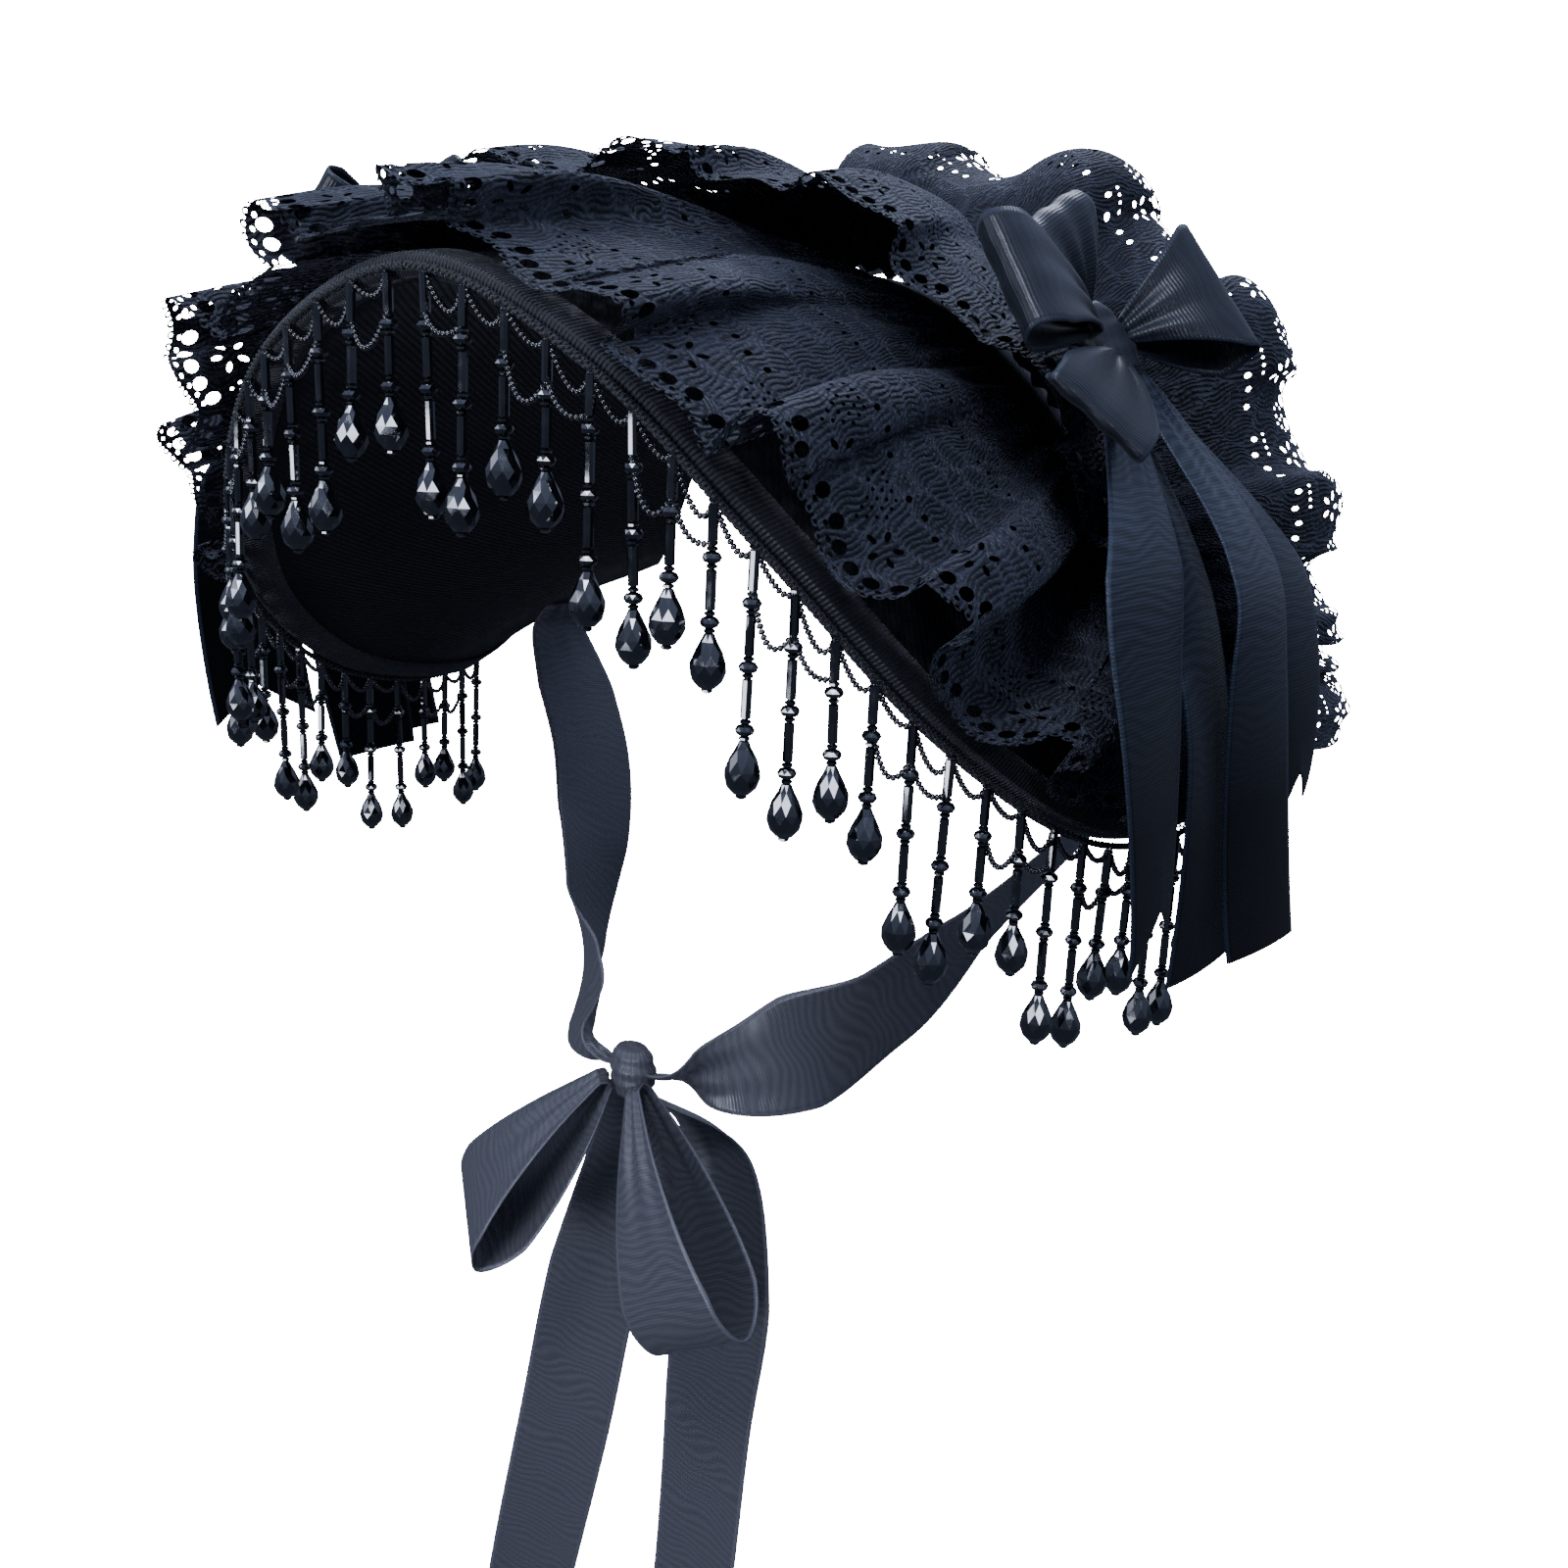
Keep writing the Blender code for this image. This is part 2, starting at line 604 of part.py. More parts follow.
def chin_run(side, label, ribbon):
    """Build the ribbon from inside the board down to the chin knot."""
    path, sides = [], []
    arch = side * CHIN_SEAM[0]
    inward = -normal(arch, CHIN_SEAM[1])
    down_slope = unit(np.array([0.0, 0.0, -1.0]) + inward * inward[2])
    seam = surface(arch, CHIN_SEAM[1]) + inward * (BOARD / 2 + SEAT_GAP + RIBBON / 2)
    width_axis = np.cross(inward, down_slope)
    width_axis = width_axis if width_axis[1] > 0 else -width_axis
    for step_down, step_in in ((0.0, 0.0), CHIN_LEAD):
        path.append(seam + down_slope * step_down + inward * step_in)
        sides.append(width_axis)
    for out, along, down, turn in CHIN_RUN:
        path.append(np.array([side * out * CHIN_SPREAD, along, down]))
        sides.append(unit(np.array([side * turn, 1.0 - turn, 0.0])))
    path.append(np.array([side * (CHIN_KNOT / 2 * KNOT_FLAT + CHIN_PINCH / 4), -CHIN_FORWARD, -CHIN_DROP]))
    sides.append(sides[-1])
    count = 13
    centre = resample(path, count)
    turned = resample(sides, count)
    grid = []
    for k in range(count):
        step = unit(centre[min(k + 1, count - 1)] - centre[max(k - 1, 0)])
        flat = unit(turned[k] - step * np.dot(turned[k], step))
        open_share = min(1.0, 0.25 + 0.25 * k, 0.3 * (count - 1 - k))
        width = CHIN_PINCH + (RIBBON_WIDTH - CHIN_PINCH) * open_share
        grid.append([centre[k] - flat * width / 2, centre[k], centre[k] + flat * width / 2])
    add_object(f"chin_ribbon_{label}", sheet(grid, RIBBON), ribbon)


def chin_bow(ribbon):
    """Build the bow under the chin: its knot, two loops and two long tails."""
    centre = np.array([0.0, -CHIN_FORWARD, -CHIN_DROP])
    x_axis, y_axis, z_axis = np.eye(3)
    knot = knot_mesh(centre, (z_axis, x_axis, y_axis), (CHIN_KNOT, CHIN_KNOT, CHIN_KNOT_DEPTH))
    add_object("chin_knot", knot, ribbon)
    for label, (aside, down), opening, turn in CHIN_LOOPS:
        heading = unit(np.array([aside, -CHIN_LOOP_LEAN, down]))
        reach = math.hypot(aside, down)
        start = centre + np.array([math.copysign(CHIN_LOOP_START[0], aside), CHIN_LOOP_START[1], 0.0])
        level = np.array([math.cos(turn), -math.sin(turn), 0.0])
        across = unit(level - heading * np.dot(level, heading))
        lift = np.cross(heading, across)
        grid = loop_grid(start, heading, lift, across, reach, opening, RIBBON_WIDTH)
        grid = seated_loop(knot, grid, heading)
        add_object(f"chin_loop_{label}", sheet(grid, RIBBON, closed=True), ribbon)
    for label, side, *stations in CHIN_TAILS:
        drop = CHIN_KNOT / 2 + GAP + RIBBON / 2
        lead = centre + np.array([side * (GATHERED / 2 + GAP), CHIN_TAIL_BACK, -drop])
        path = resample([lead] + [np.array(p, float) for p in stations], 8)
        widths = [GATHERED + (RIBBON_WIDTH - GATHERED) * min(1.0, CHIN_TAIL_OPENING * k / 7) for k in range(8)]
        grid = band(path, [x_axis] * 8, widths)
        add_object(f"chin_tail_{label}", sheet(grid, RIBBON), ribbon)


def main():
    """Build every piece of the bonnet."""
    clear_scene()
    cloth = material("twill", (0.010, 0.010, 0.014), 0.85)
    binding = material("grosgrain", (0.028, 0.032, 0.042), 0.5)
    lace = material("lace", (0.016, 0.016, 0.022), 0.75)
    ribbon = material("satin", (0.020, 0.023, 0.028), 0.38)
    bead = material("jet_glass", (0.008, 0.008, 0.010), 0.06)
    add_object("brim", sheet(board_grid(), BOARD), cloth)
    add_object("brim_binding", sweep(binding_sections()), binding)
    for side, label in ((-1, "right"), (1, "left")):
        fringe(f"fringe_{label}", side, bead)
        side_bow(side, label, ribbon)
        chin_run(side, label, ribbon)
    ruffle("lace_front", front_tier, FRONT_PROFILE, FRONT_SPAN, FRONT_COLUMNS, lace)
    ruffle("lace_flap", flap_tier, FLAP_PROFILE, FLAP_SPAN, FLAP_COLUMNS, lace)
    ruffle("lace_back", back_tier, BACK_PROFILE, 1.0, BACK_COLUMNS, lace)
    chin_bow(ribbon)


if __name__ == "__main__":
    main()
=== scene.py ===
"""Looks of a lace bonnet with a beaded fringe, side bows and ribbons tied under the chin.

Everything is laid out in millimetres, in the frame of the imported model: +Z is up, the wearer
faces -Y, the wearer's left is +X and the origin is the spot under the board that rests on the
top of the head. The tables repeat the model's own, so each piece lies where its solid is.
"""

import json
import logging
import math
from dataclasses import dataclass, field
from enum import Enum, IntEnum

import bpy
import numpy as np
from mathutils import Matrix, Vector
from mathutils.geometry import delaunay_2d_cdt

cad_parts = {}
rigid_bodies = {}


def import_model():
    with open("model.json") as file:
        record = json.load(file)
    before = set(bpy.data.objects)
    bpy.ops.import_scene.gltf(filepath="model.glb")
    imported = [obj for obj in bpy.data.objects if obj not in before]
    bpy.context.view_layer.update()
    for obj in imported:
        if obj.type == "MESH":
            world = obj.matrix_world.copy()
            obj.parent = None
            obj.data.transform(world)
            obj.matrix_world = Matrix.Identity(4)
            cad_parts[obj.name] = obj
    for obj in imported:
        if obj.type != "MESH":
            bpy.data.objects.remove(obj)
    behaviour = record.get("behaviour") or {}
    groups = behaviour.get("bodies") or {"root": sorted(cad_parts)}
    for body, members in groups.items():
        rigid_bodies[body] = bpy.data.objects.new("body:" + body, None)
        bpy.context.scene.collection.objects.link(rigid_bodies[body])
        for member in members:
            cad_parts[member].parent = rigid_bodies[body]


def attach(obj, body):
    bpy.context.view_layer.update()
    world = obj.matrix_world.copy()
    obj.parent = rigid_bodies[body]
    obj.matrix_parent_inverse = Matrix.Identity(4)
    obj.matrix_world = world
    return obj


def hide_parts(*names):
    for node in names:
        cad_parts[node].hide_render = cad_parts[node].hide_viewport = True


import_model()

LOG = logging.getLogger("bonnet")
MM = 0.001
BACKWARD_AXIS = np.array([0.0, 1.0, 0.0])


class Side(IntEnum):
    """The wearer's right and left."""

    RIGHT = -1
    LEFT = 1


class Slot(Enum):
    """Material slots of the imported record."""

    TWILL = "twill"
    GROSGRAIN = "grosgrain"
    LACE = "lace"
    SATIN = "satin"
    JET = "jet_glass"


# ---------------------------------------------------------------- finishes


def linear(hex_colour: str) -> tuple[float, float, float, float]:
    """Turn an sRGB hex colour into the linear colour that a shader takes.

    Args:
        hex_colour: Six hex digits, such as "1a1b20".

    Returns:
        Red, green, blue and alpha.
    """
    values = [int(hex_colour[i:i + 2], 16) / 255.0 for i in (0, 2, 4)]
    lit = [v / 12.92 if v <= 0.04045 else ((v + 0.055) / 1.055) ** 2.4 for v in values]
    return (lit[0], lit[1], lit[2], 1.0)


def add_node(tree: bpy.types.NodeTree, kind: str, links: dict | None = None, **settings: object) -> bpy.types.Node:
    """Add a node with its settings and its incoming links.

    Args:
        tree: The material's node tree.
        kind: Blender's name of the node type.
        links: Input name or number, to the output socket that feeds it.
        **settings: Attributes of the node, or input values where the node has no such attribute.

    Returns:
        The new node.
    """
    node = tree.nodes.new(kind)
    for name, value in settings.items():
        if hasattr(node, name):
            setattr(node, name, value)
        else:
            node.inputs[name.replace("_", " ")].default_value = value
    for name, source in (links or {}).items():
        tree.links.new(source, node.inputs[name])
    return node


@dataclass(frozen=True)
class Finish:
    """A material and what every one of them shares."""

    name: str
    colour: str
    roughness: float

    def build(self) -> bpy.types.Material:
        """Make the material.

        Returns:
            The finished material.
        """
        made = bpy.data.materials.new(self.name)
        made.use_nodes = True
        tree = made.node_tree
        shader = tree.nodes["Principled BSDF"]
        shader.inputs["Base Color"].default_value = linear(self.colour)
        shader.inputs["Roughness"].default_value = self.roughness
        made.diffuse_color = linear(self.colour)
        self.dress(tree, shader)
        return made

    def dress(self, tree: bpy.types.NodeTree, shader: bpy.types.Node) -> None:
        """Add the pattern. The plain finish has none."""

    def bump(self, tree: bpy.types.NodeTree, shader: bpy.types.Node,
             height: bpy.types.NodeSocket, depth_mm: float) -> None:
        """Lay a relief over the shader.

        Args:
            tree: The material's node tree.
            shader: The Principled node.
            height: Socket with the relief, 0 to 1.
            depth_mm: Height of the relief in millimetres.
        """
        relief = add_node(tree, "ShaderNodeBump", {"Height": height}, Distance=depth_mm * MM, Strength=1.0)
        tree.links.new(relief.outputs["Normal"], shader.inputs["Normal"])

    def tint(self, tree: bpy.types.NodeTree, shader: bpy.types.Node, factor: bpy.types.NodeSocket,
             dark: str, light: str, low: float = 0.0, high: float = 1.0) -> None:
        """Run the colour between two tones.

        Args:
            tree: The material's node tree.
            shader: The Principled node.
            factor: Socket that chooses the tone.
            dark: Hex colour at the low value.
            light: Hex colour at the high value.
            low: Factor at which the colour is all dark.
            high: Factor at which the colour is all light.
        """
        ramp = add_node(tree, "ShaderNodeValToRGB", {"Fac": factor})
        ramp.color_ramp.elements[0].position = low
        ramp.color_ramp.elements[0].color = linear(dark)
        ramp.color_ramp.elements[1].position = high
        ramp.color_ramp.elements[1].color = linear(light)
        tree.links.new(ramp.outputs["Color"], shader.inputs["Base Color"])


def cloth_position(tree: bpy.types.NodeTree) -> bpy.types.NodeSocket:
    """Return the place on the flat cloth, in metres along and across its cut."""
    return add_node(tree, "ShaderNodeAttribute", attribute_name="cloth").outputs["Vector"]


@dataclass(frozen=True)
class BrushedTwill(Finish):
    """Black cotton twill, glued to a stiff board: fine diagonal ribs that keep it matt."""

    name: str = "black cotton twill"
    colour: str = "121318"
    roughness: float = 0.82
    rib_mm: float = 1.3     # the real ribs are 0.6 mm apart and wouldn't show

    def dress(self, tree: bpy.types.NodeTree, shader: bpy.types.Node) -> None:
        """Draw the diagonal ribs and the thread's fuzz."""
        place = cloth_position(tree)
        ribs = add_node(tree, "ShaderNodeTexWave", {"Vector": place}, bands_direction="DIAGONAL",
                        Scale=0.314 / (self.rib_mm * MM), Distortion=0.6, Detail=1.0, Detail_Scale=2.0)
        self.tint(tree, shader, ribs.outputs["Fac"], "06070b", "161820", 0.1, 0.9)
        self.bump(tree, shader, ribs.outputs["Fac"], 0.18)
        shader.inputs["Sheen Weight"].default_value = 0.12
        shader.inputs["Sheen Roughness"].default_value = 0.5


@dataclass(frozen=True)
class RibbedGrosgrain(Finish):
    """Black grosgrain binding: cross ribs that catch a cool blue-grey light."""

    name: str = "black grosgrain"
    colour: str = "20242c"
    roughness: float = 0.46
    rib_mm: float = 1.1     # real ribs of 0.8 mm, drawn wide enough to show

    def dress(self, tree: bpy.types.NodeTree, shader: bpy.types.Node) -> None:
        """Draw the cross ribs."""
        place = cloth_position(tree)
        ribs = add_node(tree, "ShaderNodeTexWave", {"Vector": place}, bands_direction="X",
                        Scale=0.314 / (self.rib_mm * MM), Distortion=0.3, Detail=1.0)
        self.tint(tree, shader, ribs.outputs["Fac"], "04060b", "11151e", 0.15, 0.9)
        self.bump(tree, shader, ribs.outputs["Fac"], 0.25)
        shader.inputs["Sheen Weight"].default_value = 0.25


@dataclass(frozen=True)
class CottonLace(Finish):
    """Black cotton lace: matt thread laid in hatched petals on a fine net, so it reads as soft relief."""

    name: str = "black cotton lace"
    colour: str = "131419"
    roughness: float = 0.72
    petal_mm: float = 9.0
    thread_mm: float = 1.1  # the real thread is 0.4 mm and wouldn't show

    def dress(self, tree: bpy.types.NodeTree, shader: bpy.types.Node) -> None:
        """Draw hatched petals, their outlines and the thread, with the colour following the relief: painted highlight
        on the raised thread and outlines, painted shade in the hollows of the net.
        """
        place = cloth_position(tree)
        petals = add_node(tree, "ShaderNodeTexVoronoi", {"Vector": place}, feature="F1",
                          Scale=1.0 / (self.petal_mm * MM), Randomness=0.8)
        edges = add_node(tree, "ShaderNodeTexVoronoi", {"Vector": place}, feature="DISTANCE_TO_EDGE",
                         Scale=1.0 / (self.petal_mm * MM), Randomness=0.8)
        shade = add_node(tree, "ShaderNodeSeparateColor", {"Color": petals.outputs["Color"]})
        angle = add_node(tree, "ShaderNodeMath", {0: shade.outputs["Red"], 1: petals.outputs["Distance"]},
                         operation="MULTIPLY_ADD")
        angle.inputs[1].default_value = 2.6
        tree.links.new(petals.outputs["Distance"], angle.inputs[2])
        turn = add_node(tree, "ShaderNodeVectorRotate", {"Vector": place, "Center": petals.outputs["Position"],
                                                         "Angle": angle.outputs["Value"]}, rotation_type="Z_AXIS")
        hatch = add_node(tree, "ShaderNodeTexWave", {"Vector": turn.outputs["Vector"]}, bands_direction="DIAGONAL",
                         Scale=0.314 / (self.thread_mm * MM), Distortion=1.6, Detail=2.0, Detail_Scale=1.2)
        cord = add_node(tree, "ShaderNodeMapRange", {"Value": edges.outputs["Distance"]},
                        From_Min=0.0, From_Max=0.12, To_Min=0.42, To_Max=0.0)
        net = add_node(tree, "ShaderNodeTexVoronoi", {"Vector": place}, feature="F1",
                       Scale=1.0 / (1.3 * MM), Randomness=0.6)
        thread = add_node(tree, "ShaderNodeMath", {0: hatch.outputs["Fac"], 1: net.outputs["Distance"]},
                          operation="MULTIPLY")
        relief = add_node(tree, "ShaderNodeMath", {0: thread.outputs["Value"], 1: cord.outputs["Result"]},
                          operation="ADD")
        # painted highlight and shade: the colour runs from near black in the hollows to blue-grey on the raised thread
        # and cords, from the same relief that the bump raises
        self.tint(tree, shader, relief.outputs["Value"], "05070b", "373a45", 0.08, 0.62)
        self.bump(tree, shader, relief.outputs["Value"], 0.9)
        shader.inputs["Sheen Tint"].default_value = linear("d3dbf5")
        shader.inputs["Sheen Weight"].default_value = 0.2
        shader.inputs["Sheen Roughness"].default_value = 0.45


@dataclass(frozen=True)
class WovenSatin(Finish):
    """Black satin ribbon: a broad soft sheen painted into its colour, selvedges painted lighter as a highlight, faint
    watermark waves, and painted shade that darkens it along its length.
    """

    name: str = "black satin ribbon"
    colour: str = "14171c"
    roughness: float = 0.4
    # tone of the painted sheen and the painted highlight
    light: str = "3c4555"
    watermark: float = 0.12
    # painted sheen: how far the whole colour is lifted towards the light tone
    painted_sheen: float = 0.22
    ring_mm: float = 2.8
    # painted shade along the ribbon: past the first distance the colour and the shine fall off, down to the share below
    # at the second
    painted_shade_mm: tuple[float, float] = (45.0, 120.0)
    sheen_left_in_painted_shade: float = 1.0
    half_width_mm: float = 19.0

    def dress(self, tree: bpy.types.NodeTree, shader: bpy.types.Node) -> None:
        """Draw the weft, the watermark, the painted sheen, the selvedges' painted highlight and the painted shade along
        the ribbon.
        """
        place = cloth_position(tree)
        weft = add_node(tree, "ShaderNodeTexWave", {"Vector": place}, bands_direction="Y",
                        Scale=0.314 / (0.9 * MM), Distortion=0.4, Detail=1.0)
        slow = add_node(tree, "ShaderNodeMapping", {"Vector": place}, vector_type="POINT")
        slow.inputs["Scale"].default_value = (0.8, 1.0, 1.0)
        water = add_node(tree, "ShaderNodeTexWave", {"Vector": slow.outputs["Vector"]}, bands_direction="Y",
                         Scale=0.314 / (self.ring_mm * MM), Distortion=17.0, Detail=0.6, Detail_Scale=0.5)
        parts = add_node(tree, "ShaderNodeSeparateXYZ", {"Vector": place})
        aside = add_node(tree, "ShaderNodeMath", {0: parts.outputs["X"]}, operation="ABSOLUTE")
        # painted highlight: a lighter line along both selvedges, where light would catch their ridges
        edge = add_node(tree, "ShaderNodeMapRange", {"Value": aside.outputs["Value"]},
                        From_Min=(self.half_width_mm - 1.6) * MM, From_Max=(self.half_width_mm - 1.1) * MM,
                        To_Min=0.0, To_Max=0.45)
        # painted shade: darker and less shiny further along the ribbon
        painted_shade = add_node(tree, "ShaderNodeMapRange", {"Value": parts.outputs["Y"]}, From_Min=self.painted_shade_mm[0] * MM,
                        From_Max=self.painted_shade_mm[1] * MM, To_Min=1.0, To_Max=self.sheen_left_in_painted_shade)
        # painted sheen, broken up by the watermark waves
        swell = add_node(tree, "ShaderNodeMath", {0: water.outputs["Fac"]}, operation="MULTIPLY_ADD")
        swell.inputs[1].default_value = self.watermark
        swell.inputs[2].default_value = self.painted_sheen
        waves = add_node(tree, "ShaderNodeMath", {0: swell.outputs["Value"], 1: painted_shade.outputs["Result"]},
                         operation="MULTIPLY")
        tone = add_node(tree, "ShaderNodeMath", {0: waves.outputs["Value"], 1: edge.outputs["Result"]},
                        operation="ADD")
        self.tint(tree, shader, tone.outputs["Value"], "07090f", self.light, 0.0, 1.0)
        gloss = add_node(tree, "ShaderNodeMapRange", {"Value": waves.outputs["Value"]}, From_Min=0.0, From_Max=1.0,
                         To_Min=self.roughness, To_Max=self.roughness - 0.12)
        tree.links.new(gloss.outputs["Result"], shader.inputs["Roughness"])
        self.bump(tree, shader, weft.outputs["Fac"], 0.05)
        shine = add_node(tree, "ShaderNodeMapRange", {"Value": painted_shade.outputs["Result"]}, From_Min=0.0, From_Max=1.0,
                         To_Min=0.08, To_Max=0.6)
        tree.links.new(shine.outputs["Result"], shader.inputs["Specular IOR Level"])
        shader.inputs["Sheen Weight"].default_value = 0.06


@dataclass(frozen=True)
class JetGlass(Finish):
    """Opaque black glass, cut and fire-polished: deep black with small sharp lights."""

    name: str = "jet glass"
    colour: str = "08090b"
    roughness: float = 0.06
    smear_mm: float = 4.0

    def dress(self, tree: bpy.types.NodeTree, shader: bpy.types.Node) -> None:
        """Vary the polish a little from bead to bead."""
        spot = add_node(tree, "ShaderNodeTexCoord").outputs["Object"]
        smear = add_node(tree, "ShaderNodeTexNoise", {"Vector": spot}, Scale=1.0 / (self.smear_mm * MM), Detail=2.0)
        polish = add_node(tree, "ShaderNodeMapRange", {"Value": smear.outputs["Fac"]},
                          From_Min=0.3, From_Max=0.7, To_Min=self.roughness - 0.03, To_Max=self.roughness + 0.08)
        tree.links.new(polish.outputs["Result"], shader.inputs["Roughness"])
        self.tint(tree, shader, smear.outputs["Fac"], "050608", "0d0f13", 0.3, 0.7)
        shader.inputs["IOR"].default_value = 2.0
        shader.inputs["Coat Weight"].default_value = 1.0
        shader.inputs["Coat Roughness"].default_value = 0.02


@dataclass(frozen=True)
class Wardrobe:
    """Every finish of the bonnet, made once."""

    twill: bpy.types.Material
    grosgrain: bpy.types.Material
    lace: bpy.types.Material
    satin: bpy.types.Material
    moire: bpy.types.Material
    chin: bpy.types.Material
    jet: bpy.types.Material

    @classmethod
    def fill(cls) -> "Wardrobe":
        """Make the materials.

        Returns:
            The filled wardrobe.
        """
        return cls(BrushedTwill().build(), RibbedGrosgrain().build(), CottonLace().build(),
                   WovenSatin(painted_sheen=0.1).build(),
                   # the tails' satin: strong watermark, painted sheen, and painted shade that leaves their lower halves
                   # near black
                   WovenSatin(name="black watermarked satin", watermark=0.5, painted_sheen=0.25, sheen_left_in_painted_shade=0.0).build(),
                   # the chin ribbon: a lighter sheen tone and a strong painted sheen
                   WovenSatin(name="black satin chin ribbon", light="6a6a72", watermark=0.2, painted_sheen=0.55).build(), JetGlass().build())


# ---------------------------------------------------------------- shapes


def unit(vectors: np.ndarray) -> np.ndarray:
    """Return vectors at length one."""
    return vectors / np.linalg.norm(vectors, axis=-1, keepdims=True)


def smooth_table(keys: np.ndarray, rows: np.ndarray, at: np.ndarray) -> np.ndarray:
    """Read a table at many keys, through a Catmull-Rom curve.

    Args:
        keys: Rising keys, one to a row.
        rows: The table's rows.
        at: Keys to read.

    Returns:
        One row for each key read.
    """
    keys = np.asarray(keys, float)
    rows = np.asarray(rows, float)
    at = np.clip(np.asarray(at, float), keys[0], keys[-1])
    index = np.clip(np.searchsorted(keys, at) - 1, 0, len(keys) - 2)
    before = rows[np.maximum(index - 1, 0)]
    start = rows[index]
    end = rows[index + 1]
    after = rows[np.minimum(index + 2, len(rows) - 1)]
    t = ((at - keys[index]) / (keys[index + 1] - keys[index]))[:, None]
    return 0.5 * (2 * start + (end - before) * t + (2 * before - 5 * start + 4 * end - after) * t ** 2
                  + (3 * start - before - 3 * end + after) * t ** 3)


def add_piece(name: str, points: np.ndarray, faces: list, finish: bpy.types.Material,
              cloth: np.ndarray | None = None, smooth: bool = True) -> bpy.types.Object:
    """Make one piece and let it ride on the bonnet.

    Args:
        name: The piece's name.
        points: Vertices in millimetres.
        faces: Vertex numbers of each face.
        finish: Its material.
        cloth: Place of each vertex on the flat cloth, in millimetres.
        smooth: Whether its faces shade smoothly.

    Returns:
        The new object.
    """
    mesh = bpy.data.meshes.new(name)
    mesh.from_pydata((np.asarray(points) * MM).tolist(), [], faces)
    mesh.polygons.foreach_set("use_smooth", [smooth] * len(mesh.polygons))
    if cloth is not None:
        layer = mesh.attributes.new("cloth", "FLOAT_VECTOR", "POINT")
        flat = np.zeros((len(cloth), 3))
        flat[:, :2] = np.asarray(cloth) * MM
        layer.data.foreach_set("vector", flat.ravel())
    mesh.materials.append(finish)
    mesh.update()
    piece = bpy.data.objects.new(name, mesh)
    bpy.context.scene.collection.objects.link(piece)
    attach(piece, "root")
    LOG.info("%s: %d faces", name, len(mesh.polygons))
    return piece


def grid_faces(rows: int, columns: int, closed: bool = False, start: int = 0, flip: bool = False) -> list:
    """List the quads of a grid of points.

    Args:
        rows: Number of rows.
        columns: Points to a row.
        closed: Whether the last row joins the first.
        start: Number of the grid's first vertex.
        flip: Whether the quads face the other way.

    Returns:
        The faces.
    """
    r = np.arange(rows if closed else rows - 1)[:, None]
    c = np.arange(columns - 1)[None, :]
    n = (r + 1) % rows
    quads = np.stack(np.broadcast_arrays(r * columns + c, r * columns + c + 1,
                                         n * columns + c + 1, n * columns + c), axis=-1).reshape(-1, 4) + start
    return (quads[:, ::-1] if flip else quads).tolist()


def grid_normals(grid: np.ndarray, closed: bool) -> np.ndarray:
    """Return a unit normal for each point of a grid."""
    down = np.roll(grid, -1, axis=0) - np.roll(grid, 1, axis=0) if closed else np.gradient(grid, axis=0)
    return unit(np.cross(down, np.gradient(grid, axis=1)))


def thin_wall(grid: np.ndarray, thickness: float, closed: bool = False) -> tuple[np.ndarray, list]:
    """Give a grid of points a thickness and close its edges.

    Args:
        grid: Points of the middle surface.
        thickness: Wall thickness.
        closed: Whether the last row joins the first.

    Returns:
        Vertices and faces.
    """
    rows, columns = grid.shape[:2]
    offset = grid_normals(grid, closed) * thickness / 2
    points = np.concatenate(((grid + offset).reshape(-1, 3), (grid - offset).reshape(-1, 3)))
    back = rows * columns
    faces = grid_faces(rows, columns, closed) + grid_faces(rows, columns, closed, back, True)
    for r in range(rows if closed else rows - 1):
        n = (r + 1) % rows
        first, last = r * columns, r * columns + columns - 1
        first_n, last_n = n * columns, n * columns + columns - 1
        faces.append([first, first_n, back + first_n, back + first])
        faces.append([last, back + last, back + last_n, last_n])
    if not closed:
        tail = (rows - 1) * columns
        for c in range(columns - 1):
            faces.append([c, back + c, back + c + 1, c + 1])
            faces.append([tail + c, tail + c + 1, back + tail + c + 1, back + tail + c])
    return points, faces


